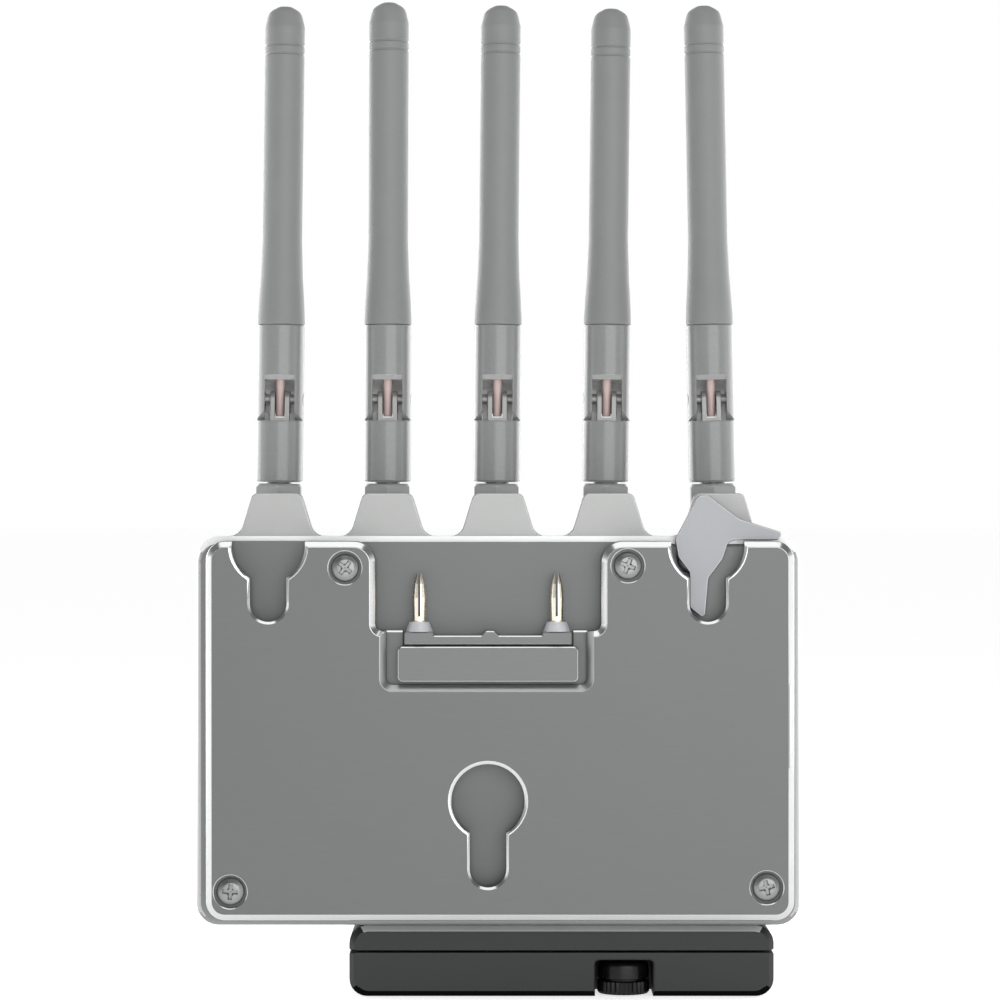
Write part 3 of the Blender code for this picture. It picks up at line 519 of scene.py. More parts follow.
def make_housing():
    low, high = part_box("housing")
    loop = rectangle(low.x, low.z, high.x, high.z, HOUSING_CORNER, 10)
    body = slab("housing_shell", loop, low.y, high.y, HOUSING_EDGE, 0.0002, steps=5)
    sdi_low, sdi_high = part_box("sdi_connector_1"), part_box("sdi_connector_2")
    floor = sdi_low[1].x - 0.0050
    pocket_low, pocket_high = sdi_low[0].z - 0.0030, sdi_high[1].z + 0.0030
    inner = rounded([
        (low.x + WALL, low.z + WALL, 0.002), (high.x - WALL, low.z + WALL, 0.002),
        (high.x - WALL, high.z - WALL, 0.002), (low.x + WALL, high.z - WALL, 0.002),
        (low.x + WALL, pocket_high + WALL, 0), (floor + WALL, pocket_high + WALL, 0),
        (floor + WALL, pocket_low - WALL, 0), (low.x + WALL, pocket_low - WALL, 0),
    ])
    middle = centre("sdi_connector_1")[1]
    pocket = rectangle(middle - 0.0085, pocket_low, middle + 0.0085, pocket_high, 0.0015)
    tools = [pit(inner, high.y, low.y + 0.0025), pit(pocket, low.x, floor, 0.0004, "X")]
    for i in (1, 2):
        z = centre(f"sdi_connector_{i}")[2]
        tools.append(pit(circle(middle, z, 0.0050), floor, floor + 0.004, 0.0, "X"))
    a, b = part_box("hdmi_socket")
    hdmi = rectangle(a.y - AIR, a.z - AIR, b.y + AIR, b.z + AIR, 0.001)
    a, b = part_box("power_socket")
    power = circle(middle, (a.z + b.z) / 2, (b.z - a.z) / 2 + AIR, 40)
    switch = rectangle(middle - 0.0023, 0.0656, middle + 0.0023, 0.0744, 0.001)
    tools += [pit(loop, high.x, high.x - 0.004, 0.0003, "X") for loop in (hdmi, power, switch)]
    for i in ANTENNAS:
        x, y, _ = centre(f"antenna_{i}_jack")
        tools.append(pit(circle(x, y, 0.0034), high.z, high.z - 0.004, 0.0, "Z"))
    carve(body, *tools)
    # Edges take the lighter edge finish except where they face down, so the underside edges stay dark:
    # painted light and shade by which way the edges face.
    settle(body, "root", "housing_paint", "paint", "housing", edge="paint_edge",
           where=lambda face: slanted(face) and face.normal.z > -0.3)


def make_cover():
    low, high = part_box("front_cover")
    screen_low, screen_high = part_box("display_window")
    loop = rectangle(low.x, low.z, high.x, high.z, HOUSING_CORNER, 10)
    cover = slab("cover", loop, high.y, low.y, 0.0016, 0.0002, steps=5)
    tools = []
    for i in range(15):
        x = 0.0066 * (i - 7)
        groove = rectangle(x - 0.0014, 0.0225, x + 0.0014, 0.0520, 0.00139)
        tools.append(pit(groove, high.y, high.y - 0.0032, 0.0004))
    bed = rectangle(screen_low.x - AIR, screen_low.z - AIR, screen_high.x + AIR, screen_high.z + AIR, 0.0013)
    tools.append(pit(bed, high.y, high.y - 0.0021, 0.0003))
    x, _, z = centre("menu_button")
    tools.append(pit(circle(x, z, 0.0039, 40), high.y, low.y - 0.001, 0.0003))
    lights = [(-0.0300 + 0.0045 * i, z) for i in range(3)]
    tools += [pit(circle(a, b, 0.0009, 20), high.y, high.y - 0.0008, 0.0002) for a, b in lights]
    middle = (low.z + high.z) / 2
    corners = [(sx * (high.x - 0.0058), middle + sz * 0.0311) for sx in (-1, 1) for sz in (-1, 1)]
    tools += [pit(circle(a, b, 0.0022), high.y, high.y - 0.0016, 0.0003) for a, b in corners]
    carve(cover, *tools)
    settle(cover, "root", "housing_paint", "paint", "front_cover", edge="paint_edge")
    for i, (a, b) in enumerate(lights):
        dome = [(0, 0.0009, 0), (0.0008, 0.0007, 0.0004), (0.0008, 0, 0), (0, 0, 0)]
        lens = placed(turned(f"status_lens_{i + 1}", dome, 20), to_front(a, high.y - 0.0009, b))
        settle(lens, "root", "screen_glass", "pixels")
    for i, (a, b) in enumerate(corners):
        screw = rod(f"cover_screw_{i + 1}", 0.0020, 0, -0.0014, 0.0003)
        hexagon = [(0.0011 * math.cos(k * math.pi / 3), 0.0011 * math.sin(k * math.pi / 3)) for k in range(6)]
        carve(screw, pit(hexagon, 0.0, -0.0009, 0.0, "Z"))
        placed(screw, to_front(a, high.y - 0.0002, b))
        settle(screw, "root", "steel", "steel")


def make_display():
    """The glass window, with a generic row of signal bars and a cell symbol behind it."""
    low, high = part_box("display_window")
    loop = rectangle(low.x, low.z, high.x, high.z, 0.0010)
    glass = slab("display_glass", loop, high.y, low.y, 0.0003, 0.0)
    settle(glass, "root", "screen_glass", "glass", "display_window")
    proud = high.y + 0.00003
    marks = []
    for i in range(5):
        x = high.x - 0.0050 - 0.0016 * i
        bar = rectangle(x, low.z + 0.0040, x + 0.0010, low.z + 0.0055 + 0.0013 * i, 0.0002, 2)
        marks.append(slab("bar", bar, proud, high.y - 0.0001))
    cell = rectangle(low.x + 0.0045, low.z + 0.0045, low.x + 0.0110, low.z + 0.0080, 0.0005, 3)
    marks.append(slab("cell", cell, proud, high.y - 0.0001))
    carve(marks[-1], pit(inset(cell, 0.0004), proud, high.y - 0.001))
    level = rectangle(low.x + 0.0068, low.z + 0.0052, low.x + 0.0103, low.z + 0.0073, 0.0002, 2)
    marks.append(slab("level", level, proud, high.y - 0.0001))
    settle(joined("display_marks", marks), "root", "screen_glass", "pixels")


def make_menu_button():
    """A flat push button with a knurled rim, on a flange that stays behind the cover."""
    x, _, z = centre("menu_button")
    radius = 0.0036

    def knurl(r, height, angle):
        return r - 0.00012 * (1 + math.cos(24 * angle)) * (r > radius - 0.0003 and height > 0.0012)

    button = turned("menu_button_cap", [
        (0, 0.0049, 0), (0.0020, 0.0050, 0.0006), (radius, 0.0052, 0.0005), (radius, 0, 0),
        (radius + 0.0009, 0, 0), (radius + 0.0009, -0.0010, 0), (0, -0.0010, 0),
    ], 96, knurl)
    placed(button, to_front(x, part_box("menu_button")[0].y + 0.0010, z))
    settle(button, "menu_button", "control_black", "control", "menu_button")


# --- battery plate


def keyhole(x, z, slot_end, head_rim=0.0, slot_rim=0.0):
    """A stud's head hole running into a narrower slot below it, each grown by its rim."""
    radius, half = STUD_HEAD_R + head_rim, SLOT_HALF + slot_rim
    edge = math.degrees(math.asin(half / radius))
    head = arc(x, z, radius, 270 + edge, 630 - edge, 36)
    return head + arc(x, slot_end + SLOT_HALF, half, 180, 360, 16)


def keyhole_cutter(hole, face, floor):
    """A keyhole whose rim is chamfered, wider round the head than along the slot."""
    mouth = keyhole(*hole, HEAD_RIM, SLOT_RIM)
    middle = keyhole(*hole, HEAD_RIM * 0.12, SLOT_RIM * 0.12)
    return stack("cutter", [
        (face - 0.001, mouth), (face - TINY, mouth), (face + RIM_DEPTH * 0.84, middle),
        (face + RIM_DEPTH, keyhole(*hole)), (floor, keyhole(*hole)),
    ])


def make_plate():
    """The battery plate: keyholes, a recess for the contacts, a sloping tray and screw counterbores."""
    low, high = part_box("battery_plate")
    middle = centre("terminal_block")[0]
    face = low.y
    turn = 0.0042
    top = high.z + 0.00015
    outline = rounded([
        (low.x, low.z, PLATE_CORNER), (high.x, low.z, PLATE_CORNER), (high.x, top, PLATE_CORNER),
        (RECESS_RIGHT, top, turn), (RECESS_RIGHT, RECESS_BOTTOM, 0.0014),
        (RECESS_LEFT, RECESS_BOTTOM, 0.0014), (RECESS_LEFT, top, turn), (low.x, top, PLATE_CORNER),
    ], 8)
    plate = slab("battery_plate_face", outline, face, high.y - 0.0002, PLATE_EDGE, 0.0, steps=0)
    full = rectangle(low.x, low.z, high.x, high.z, PLATE_CORNER, 8)
    floor = slab("floor", inset(full, 0.00004), RECESS_FLOOR, high.y)
    tab = rectangle(0.0500, 0.0444, high.x - 0.0007, 0.0609, 0.0004, 2)
    tab = slab("tab", tab, face + TINY * 2, face + 0.0030, 0.0003)
    carve(plate, floor, tab, operation="UNION")
    holes = [
        (middle - STUD_SPREAD, UPPER_STUD_Z, UPPER_SLOT_END),
        (middle + STUD_SPREAD, UPPER_STUD_Z, UPPER_SLOT_END),
        (middle, LOWER_STUD_Z, LOWER_SLOT_END),
    ]
    skin = face + PLATE_SKIN
    tools = [keyhole_cutter(hole, face, skin + 0.0002) for hole in holes]
    reach = STUD_HEAD_R + AIR
    for x, z, slot_end in holes[::2]:
        room = rectangle(x - reach, slot_end - 0.0037, x + reach, min(z + reach, high.z + 0.002))
        tools.append(pit(room, skin + 0.001, RECESS_FLOOR))
    lever_room = rectangle(0.0313, UPPER_SLOT_END - 0.0037, 0.0553, high.z + 0.002)
    tools.append(pit(lever_room, skin + 0.001, high.y + 0.001))
    tray = rectangle(TRAY_LEFT, TRAY_BOTTOM, TRAY_RIGHT, RECESS_BOTTOM + 0.003, 0.0012)
    tools.append(pit(tray, face, face + TRAY_DEPTH, TRAY_SLOPE, steps=0))
    level = face + TRAY_DEPTH
    ledge = [(level - 0.0002, RECESS_BOTTOM - 0.0005), (level - 0.0002, RECESS_BOTTOM + 0.0002),
             (level + 0.0005, RECESS_BOTTOM + 0.0002)]
    tools.append(stack("ledge", [(TRAY_LEFT - 0.0003, ledge), (TRAY_RIGHT + 0.0003, ledge)], "X"))
    block_low, block_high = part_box("terminal_block")
    bed = rectangle(block_low.x - AIR, block_low.z - AIR, block_high.x + AIR, RECESS_BOTTOM + 0.001)
    tools.append(pit(bed, face, RECESS_FLOOR + 0.00004))
    for i in PLATE_SCREWS:
        x, _, z = centre(f"plate_screw_{i}")
        tools.append(pit(circle(x, z, 0.0031, 40), face, face + 0.0013, 0.00025, steps=0))
        tools.append(pit(circle(x, z, 0.0017, 24), face + 0.0005, high.y + 0.001))
    carve(plate, *tools)
    margin = TRAY_SLOPE + TINY

    def in_tray(face):
        across = TRAY_LEFT - margin < face.center.x < TRAY_RIGHT + margin
        return slanted(face) and across and TRAY_BOTTOM - margin < face.center.z < RECESS_BOTTOM - 0.0004

    settle(plate, "root", "plate_satin", "plate", "battery_plate", edge="plate_edge")
    finish(plate, "slope", in_tray)


def make_plate_screws():
    """Pan heads with a tapered cross recess."""
    half, arm = 0.00036, 0.00145
    cross = [(half, half), (half, arm), (-half, arm), (-half, half), (-arm, half), (-arm, -half)]
    cross += [(-half, -half), (-half, -arm), (half, -arm), (half, -half), (arm, -half), (arm, half)]
    for i in PLATE_SCREWS:
        low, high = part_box(f"plate_screw_{i}")
        x, _, z = centre(f"plate_screw_{i}")
        radius = (high.x - low.x) / 2
        head = turned(f"plate_screw_{i}_head", [
            (0, 0, 0), (radius * 0.62, -0.00005, 0.0010), (radius, -0.0006, 0.0003), (radius, -0.0010, 0),
            (0.0014, -0.0010, 0), (0.0014, -0.0098, 0.0003), (0, -0.0098, 0),
        ], 40, softness=4)
        taper = stack("cross", [(0.0005, inset(cross, -0.00012)), (-0.0011, inset(cross, 0.00008))], "Z")
        cone = [(0, 0.001, 0), (0.0008, 0.001, 0), (0.0008, -0.0001, 0), (0, -0.0013, 0)]
        dimple = turned("dimple", cone, 20)
        carve(head, taper, dimple)
        spin = Matrix.Rotation(math.radians(35 + 17 * i), 4, "Z")
        placed(head, to_rear(x, low.y, z) @ spin)
        settle(head, "root", "steel", "screw", f"plate_screw_{i}")


def make_terminals():
    """The contact block with its raised seats, the cover panel below and the split gold pins."""
    low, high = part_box("terminal_block")
    middle = centre("terminal_block")[0]
    top = high.z - 0.0008
    bar = top - 0.0007
    step = 0.0057
    outline = rounded([
        (low.x, low.z, 0.0003), (high.x, low.z, 0.0003), (high.x, top, 0.0004),
        (high.x - step, top, 0.0003), (high.x - step, bar, 0.0002),
        (middle + 0.0021, bar, 0.0006), (middle + 0.0012, bar + 0.0009, 0.0007),
        (middle - 0.0004, bar + 0.0009, 0.0007), (middle - 0.0013, bar, 0.0006),
        (low.x + step, bar, 0.0002), (low.x + step, top, 0.0003), (low.x, top, 0.0004),
    ], 4)
    block = slab("terminal_body", outline, low.y, high.y, 0.00022, 0.0, steps=0)
    tools = []
    for side in ("left", "right"):
        x, y, _ = centre(f"power_pin_{side}")
        tools.append(pit(circle(x, y, 0.0012, 24), top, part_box(f"power_pin_{side}")[0].z - AIR, 0.0, "Z"))
    carve(block, *tools)

    def on_bar(face):
        return slanted(face) and low.x + step < face.center.x < high.x - step

    settle(block, "root", "plate_satin", "panel", "terminal_block", edge="plate_edge", where=on_bar)
    low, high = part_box("terminal_cover")
    loop = rectangle(low.x, low.z, high.x, high.z, 0.0009)
    panel = slab("terminal_panel", loop, low.y, high.y, 0.0002, 0.0, steps=0)
    settle(panel, "root", "plate_satin", "panel", "terminal_cover", edge="plate_edge")
    for side in ("left", "right"):
        make_power_pin(side)


def make_power_pin(side):
    """A bullet-nosed pin split down its front, with a collar, on a small tapered seat."""
    low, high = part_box(f"power_pin_{side}")
    x, y, _ = centre(f"power_pin_{side}")
    place = Matrix.Translation((x, y, 0))
    top, collar, base = high.z, PIN_COLLAR_Z, PIN_SEAT_Z
    pin = turned(f"contact_pin_{side}", [
        (0, top, 0), (0.0005, top, 0.0004), (0.0011, top - 0.0022, 0.001), (0.00138, top - 0.0048, 0.002),
        (0.00125, collar, 0), (0.0017, collar, 0.0002), (0.0017, collar - 0.0009, 0.0002),
        (0.0009, collar - 0.0009, 0), (0.0009, low.z, 0), (0, low.z, 0),
    ], 40, softness=4)
    slot = rectangle(-0.00022, collar + 0.0008, 0.00022, top + 0.001)
    carve(pin, stack("slot", [(-0.002, slot), (0.002, slot)], "Y"))
    settle(placed(pin, place), "root", "gold_contact", "gold", f"power_pin_{side}")
    seat = turned(f"pin_seat_{side}", [
        (0.00095, base, 0), (0.0026, base, 0), (0.0019, collar - 0.0002, 0.0002),
        (0.00175, collar - 0.0002, 0), (0.00175, collar - 0.00095, 0), (0.00095, collar - 0.00095, 0),
    ], 40)
    settle(placed(seat, place), "root", "plate_satin", "seat")


def make_lever():
    """The release lever, drawn round its own axis: a finger below, an arm to the right, a hub behind."""
    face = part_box("release_lever")[0].y
    x, _, z = joint("release_lever_press")["pos_m"]
    outline = rounded([
        (0.0003, 0.0115, 0.0009), (-0.0041, 0.0032, 0.0014), (-0.0035, -0.0002, 0.0012),
        (-0.0013, -0.0032, 0.0008), (-0.0013, -0.0098, 0.0009), (0.0011, -0.0118, 0.0005),
        (0.0017, -0.0112, 0.0004), (0.0023, -0.0042, 0.0016), (0.0050, -0.0007, 0.0028),
        (0.0062, 0.00306, 0.0015), (0.0156, 0.00306, 0.0005), (0.0167, 0.0044, 0.0006),
        (0.0083, 0.0071, 0.0040), (0.0021, 0.0117, 0.0009),
    ], 5)
    lever = slab("lever_blade", outline, face, face + 0.0014, 0.0002, 0.0002)
    hub = rod("hub", 0.0031, 0, -0.0019, 0, 0.0002)
    carve(lever, placed(hub, to_rear(0, face + 0.0011, 0)), operation="UNION")
    bore = rod("bore", 0.0012, 0, -0.004, steps=24)
    carve(lever, placed(bore, to_rear(0, face + 0.0009, 0)))
    placed(lever, Matrix.Translation((x, 0, z)))
    settle(lever, "release_lever", "lever_alloy", "lever", "release_lever", edge="lever_edge")


# --- antennas


def rail_outline(top):
    """The outline of a rail on the housing's top edge that tapers away round its upper corners."""
    _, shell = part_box("housing")
    side, base = shell.x - HOUSING_CORNER, shell.z - HOUSING_CORNER
    rise = top - shell.z
    steps = 12
    inner = arc(side, base, HOUSING_CORNER - RAIL_DROP, RAIL_START, 90, steps)
    outer = []
    for k, (x, z) in enumerate(arc(0, 0, 1, RAIL_START, 90, steps)):
        reach = HOUSING_CORNER + rise * (0.03 + 0.97 * math.sin(math.pi / 2 * k / steps))
        outer.append((side + x * reach, base + z * reach))
    return outer + [(-x, z) for x, z in reversed(outer)] + [(-x, z) for x, z in inner] + inner[::-1]


def make_guard():
    """Five lobes on one strip, shielding the antenna nuts from behind, and the rail below them, a light strip
    that stands for light on the housing's top edge (painted light).
    """
    low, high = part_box("antenna_guard")
    strip = low.z + 0.0006
    corners = []
    for i in reversed(ANTENNAS):
        x = LOBE_PITCH * (i - 3)
        corners += [
            (x + 0.0072, strip, 0.0026), (x + 0.0047, high.z, 0.0015),
            (x - 0.0047, high.z, 0.0015), (x - 0.0072, strip, 0.0026),
        ]
    outline = rounded([
        (low.x, low.z, 0), (high.x, low.z, 0), (high.x, strip, 0.0003), *corners, (low.x, strip, 0.0003),
    ], 8)
    guard = slab("guard_strip", outline, low.y, high.y, 0.00025, 0.00025)
    rail = slab("top_rail", rail_outline(strip), low.y - 0.0004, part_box("housing")[0].y - TINY * 2)
    # The rail's light finish is painted light on the housing's top edge.
    settle(rail, "root", "guard_alloy", "rail")
    settle(guard, "root", "guard_alloy", "alloy", "antenna_guard", edge="alloy_edge")


def antenna_frame(i):
    """The matrix that takes an antenna's own axes, at its folding hinge, to the frame's."""
    fold = joint(f"antenna_{i}_fold")
    across, up = Vector(fold["axis"]), Vector(joint(f"antenna_{i}_swivel")["axis"])
    turn = Matrix((across, up.cross(across), up)).transposed().to_4x4()
    return Matrix.Translation(fold["pos_m"]) @ turn


def make_jack(i):
    """The threaded jack that the coupling nut turns on."""
    low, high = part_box(f"antenna_{i}_jack")
    x, y, _ = centre(f"antenna_{i}_jack")
    pitch = 0.00064
    start = low.z + 0.0068
    corners = [
        (0.0031, low.z, 0), (0.0031, start - 0.0025, 0), (0.0042, start - 0.0025, 0.0001),
        (0.0042, start - 0.0015, 0.0002),
    ]
    for k in range(8):
        z = start - 0.0012 + k * pitch
        corners += [(0.0028, z, 0), (0.0031, z + pitch / 2, 0)]
    corners += [
        (0.0028, high.z, 0), (0.0022, high.z, 0), (0.0022, high.z - 0.004, 0), (0.0010, high.z - 0.004, 0),
        (0.0010, low.z, 0),
    ]
    jack = placed(turned(f"antenna_{i}_thread", corners, 32), Matrix.Translation((x, y, 0)))
    settle(jack, "root", "gold_contact", "gold", f"antenna_{i}_jack")


def make_nut(i, place):
    """The hexagonal coupling nut, its corners turned down at both ends."""
    flats = 0.0043
    corner = flats / math.cos(math.pi / 6)
    low, high = -HINGE_ABOVE_HOUSING + 0.0017, -HINGE_ABOVE_HOUSING + 0.0110

    def hexagon(radius, height, angle):
        return min(radius, flats / math.cos((angle + math.pi / 6) % (math.pi / 3) - math.pi / 6))

    nut = turned(f"antenna_{i}_coupling", [
        (0.00275, high, 0.0001), (corner - 0.0010, high, 0.0003), (corner, high - 0.0007, 0.0002),
        (corner, low + 0.0003, 0.0001), (corner - 0.0005, low, 0.0001), (0.0035, low, 0),
        (0.0035, high - 0.0014, 0), (0.00275, high - 0.0014, 0),
    ], 72, hexagon)
    settle(placed(nut, place), f"antenna_{i}_nut", "antenna_gloss", "nut", f"antenna_{i}_nut")


def make_base(i, place):
    """The lower barrel with its flange, and the metal fork and trunnions on top."""
    top, bottom = -0.00423, -HINGE_ABOVE_HOUSING + 0.0113
    flange = -HINGE_ABOVE_HOUSING + 0.0093
    barrel = turned(f"antenna_{i}_barrel", [
        (0, top, 0), (BARREL_R, top, 0.0003), (BARREL_R, bottom + 0.0003, 0.0002),
        (BARREL_R - 0.0004, bottom, 0.0002), (0.00245, bottom, 0), (0.00245, flange, 0),
        (0.0031, flange, 0), (0.0031, flange - 0.0014, 0), (0, flange - 0.0014, 0),
    ], 48)
    shoulders = [slab("shoulder", rectangle(x, top - 0.0004, x + 0.0014, -0.0027), -0.0012, 0.0012)
                 for x in (-0.0029, 0.0015)]
    carve(barrel, *shoulders, operation="UNION")
    settle(placed(barrel, place), f"antenna_{i}_base", "antenna_gloss", "gloss", f"antenna_{i}_base")
    prong = rounded([
        (-0.0024, -0.0055, 0), (0.0024, -0.0055, 0), (0.0016, 0.0016, 0.0015), (-0.0016, 0.0016, 0.0015),
    ], 8)
    fork = slab(f"antenna_{i}_fork", prong, -0.00195, 0.00195, 0.0002, 0.0002, "X")
    pin = rod("pin", 0.00095, 0.0043, -0.0043, 0.0002, 0.0002, 20)
    carve(fork, placed(pin, Matrix.Rotation(math.pi / 2, 4, "Y")), operation="UNION")
    gap = rectangle(-0.0010, -0.0036, 0.0010, 0.0040, 0.0002)
    carve(fork, stack("gap", [(-0.004, gap), (0.004, gap)], "Y"))
    settle(placed(fork, place), f"antenna_{i}_base", "steel", "nickel")


def make_coax(i, place):
    """The lead through the hinge, a straight tube between the barrel and the whip."""
    path = [(0, 0, -0.0034 + 0.0072 * k / 24) for k in range(25)]
    lead = placed(tube(f"antenna_{i}_lead", path, 0.00085), place)
    lead.data.materials.clear()
    lead.data.materials.append(MATERIALS["coax"])
    lead.data.shade_smooth()
    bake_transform(lead)
    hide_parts(f"antenna_{i}_coax")


def make_whip(i, place):
    """The slotted knuckle and the tapered rubber sheath with its two rings near the tip."""
    shoulder = SHEATH_START - 0.0001
    knuckle = turned(f"antenna_{i}_hinge_cap", [
        (0, SHEATH_START + 0.011, 0), (0.0022, SHEATH_START + 0.011, 0), (0.0022, shoulder, 0),
        (BARREL_R, shoulder, 0.0002), (BARREL_R, -0.0045, 0), (0, -0.0045, 0),
    ], 48)
    window = rounded([
        (-0.0062, -0.006, 0), (-0.0062, 0.00465, 0), (-0.0034, 0.00465, 0), (-0.0029, 0.0038, 0),
        (0.0031, 0.0037, 0.0024), (0.0031, -0.006, 0),
    ])
    ends = [(-0.008, 0.0022), (-0.0050, 0.0014)] + arc(0, 0, 0.0042, 190, 350, 16)
    ends += [(0.0050, 0.0014), (0.008, 0.0022), (0.008, -0.008), (-0.008, -0.008)]
    holes = circle(0, 0, 0.00125, 24)
    carve(
        knuckle,
        stack("window", [(-0.00295, window), (0.00295, window)], "X"),
        stack("ends", [(-0.006, ends), (0.006, ends)], "X"),
        stack("holes", [(-0.006, holes), (0.006, holes)], "X"),
    )
    placed(knuckle, place)
    local = place.inverted()

    def in_window(face):
        x, y, z = local @ face.center
        return abs(x) < 0.00297 and -0.0037 < y < 0.0033 and z < 0.00464

    # Faces inside the window take the light finish: painted light against the shade in the slot.
    settle(knuckle, f"antenna_{i}_whip", "antenna_gloss", "gloss", f"antenna_{i}_knuckle", crease=30,
           edge="window_painted_light", where=in_window)
    finish(knuckle, "alloy", lambda face: in_window(face) and (local @ face.center).z > 0.0039)
    x, y, _ = centre(f"antenna_{i}_sheath")
    tip = (local @ Vector((x, y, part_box(f"antenna_{i}_sheath")[1].z))).z
    corners = [(0, tip, 0), (0.0012, tip, 0.001), (0.0032, tip - 0.0011, 0.0022)]
    corners.append((SHEATH_R, tip - 0.0040, 0.002))
    for ring in (tip - 0.0076, tip - 0.0093):
        corners += [(SHEATH_R, ring + 0.0003, 0.0001), (SHEATH_R - 0.0002, ring + 0.0001, 0),
                    (SHEATH_R - 0.0002, ring - 0.0001, 0), (SHEATH_R, ring - 0.0003, 0.0001)]
    corners += [
        (SHEATH_R, 0.0310, 0.03), (0.0041, 0.0240, 0.03), (0.0044, 0.0195, 0.02), (BARREL_R, 0.0156, 0.0008),
        (BARREL_R, SHEATH_START, 0.0003), (0.0025, SHEATH_START, 0), (0.0025, SHEATH_START + 0.0115, 0),
        (0, SHEATH_START + 0.0115, 0),
    ]
    sheath = placed(turned(f"antenna_{i}_cover", corners, 48), place)
    settle(sheath, f"antenna_{i}_whip", "antenna_rubber", "rubber", f"antenna_{i}_sheath", crease=30)


def make_antennas():
    for i in ANTENNAS:
        place = antenna_frame(i)
        make_jack(i)
        make_nut(i, place)
        make_base(i, place)
        make_coax(i, place)
        make_whip(i, place)


# --- side sockets


def make_sdi_sockets():
    """Bayonet video sockets with a white insulator and a gold centre contact."""
    for i in (1, 2):
        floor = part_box(f"sdi_connector_{i}")[1].x - 0.0050
        _, y, z = centre(f"sdi_connector_{i}")
        shell = turned(f"video_socket_{i}", [
            (0.0040, 0.0012, 0), (0.0040, 0.0084, 0.0001), (0.0048, 0.0084, 0.0003),
            (0.0048, 0.0026, 0.0002), (0.0052, 0.0022, 0.0002), (0.0052, 0.0015, 0),
            (0.0063, 0.0015, 0.0002), (0.0063, AIR, 0), (0.0047, AIR, 0), (0.0047, -0.0050, 0),
            (0.0008, -0.0050, 0), (0.0008, 0.0012, 0),
        ], 48)
        lug = rod("lug", 0.0008, 0.0054, -0.0054, 0.0002, 0.0002, 20)
        carve(lug, placed(rod("core", 0.0044, 0.01, -0.01, steps=32), Matrix.Rotation(math.pi / 2, 4, "Y")))
        placed(lug, Matrix.Translation((-0.0001, 0, 0)))
        place = to_side(floor, y, z, -1)
        placed(shell, place)
        placed(lug, Matrix.Translation((floor - 0.0064, y, z)))
        carve(shell, lug, operation="UNION")
        settle(shell, "root", "steel", "steel", f"sdi_connector_{i}")
        core = turned(f"video_insulator_{i}", [
            (0.0007, 0.0013, 0), (0.0007, 0.0050, 0), (0.0020, 0.0060, 0.0002), (0.0022, 0.0040, 0.0001),
            (0.0039, 0.0030, 0.0001), (0.0039, 0.0013, 0),
        ], 32)
        settle(placed(core, place), "root", "control_black", "insulator")
        contact = turned(f"video_contact_{i}", [
            (0.0003, 0.0052, 0), (0.0006, 0.0052, 0.0001), (0.0006, -0.0040, 0), (0, -0.0040, 0),
            (0, 0.0030, 0), (0.0003, 0.0030, 0),
        ], 20)
        settle(placed(contact, place), "root", "gold_contact", "gold")


def make_hdmi_socket():
    """A flat metal shell round a tongue with ten contacts."""
    low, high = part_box("hdmi_socket")
    _, y, z = centre("hdmi_socket")
    outer = rectangle(low.y, low.z, high.y, high.z, 0.0010)
    inner = inset(outer, 0.0005)
    shell = slab("hdmi_shell", outer, high.x, low.x, 0.0002, 0.0, "X")
    carve(shell, pit(inner, high.x, low.x + 0.0015, 0.0001, "X"))
    settle(shell, "root", "steel", "steel", "hdmi_socket")
    tongue = slab("hdmi_tongue", rectangle(y - 0.0052, z - 0.0005, y + 0.0052, z + 0.0005, 0.0003, 2),
                  high.x - 0.0012, low.x + 0.0014, 0.0002, 0.0, "X")
    settle(tongue, "root", "control_black", "control")
    strips = []
    for k in range(10):
        a = y - 0.0045 + 0.0010 * k
        strips.append(slab("strip", rectangle(a - 0.0002, z + 0.00048, a + 0.0002, z + 0.0006),
                           high.x - 0.0016, low.x + 0.0016, 0.0, 0.0, "X"))
    settle(joined("hdmi_contacts", strips), "root", "gold_contact", "gold")


def make_power_socket():
    """A round locking socket with two pins."""
    low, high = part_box("power_socket")
    _, y, z = centre("power_socket")
    radius = (high.z - low.z) / 2
    place = to_side(high.x + AIR, y, z, 1)
    shell = turned("power_shell", [
        (0, -0.0080, 0), (0.0040, -0.0080, 0), (0.0040, -AIR, 0.0002), (radius, -AIR, 0.0004),
        (radius, -0.0120, 0), (0, -0.0120, 0),
    ], 48)
    settle(placed(shell, place), "root", "steel", "steel", "power_socket")
    insert = rod("power_insert", 0.0038, -0.0062, -0.0079, 0.0003, steps=32)
    settle(placed(insert, place), "root", "control_black", "control")
    pins = []
    for side in (-1, 1):
        pin = rod("pin", 0.0005, -0.0012, -0.0061, 0.0004, steps=20)
        pins.append(placed(pin, place @ Matrix.Translation((0, side * 0.0015, 0))))
    settle(joined("power_contacts", pins), "root", "gold_contact", "gold")


def make_switch():
    """A ridged slider on a wider foot inside the housing."""
    low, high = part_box("power_switch")
    _, y, z = centre("power_switch")
    grip = rectangle(y - 0.0019, z - 0.0014, y + 0.0019, z + 0.0014, 0.0004)
    handle = slab("switch_slider", grip, high.x, high.x - 0.0050, 0.0002, 0.0, "X")
    for k in (-1, 0, 1):
        groove = rectangle(y - 0.003, z + 0.0007 * k - 0.00015, y + 0.003, z + 0.0007 * k + 0.00015)
        carve(handle, pit(groove, high.x, high.x - 0.0003, 0.0, "X"))
    foot = rectangle(low.y, low.z, high.y, high.z, 0.0003, 2)
    carve(handle, slab("switch_foot", foot, low.x + 0.0002, low.x + 0.0024, 0, 0, "X"), operation="UNION")
    settle(handle, "power_switch", "control_black", "control", "power_switch")


# --- foot


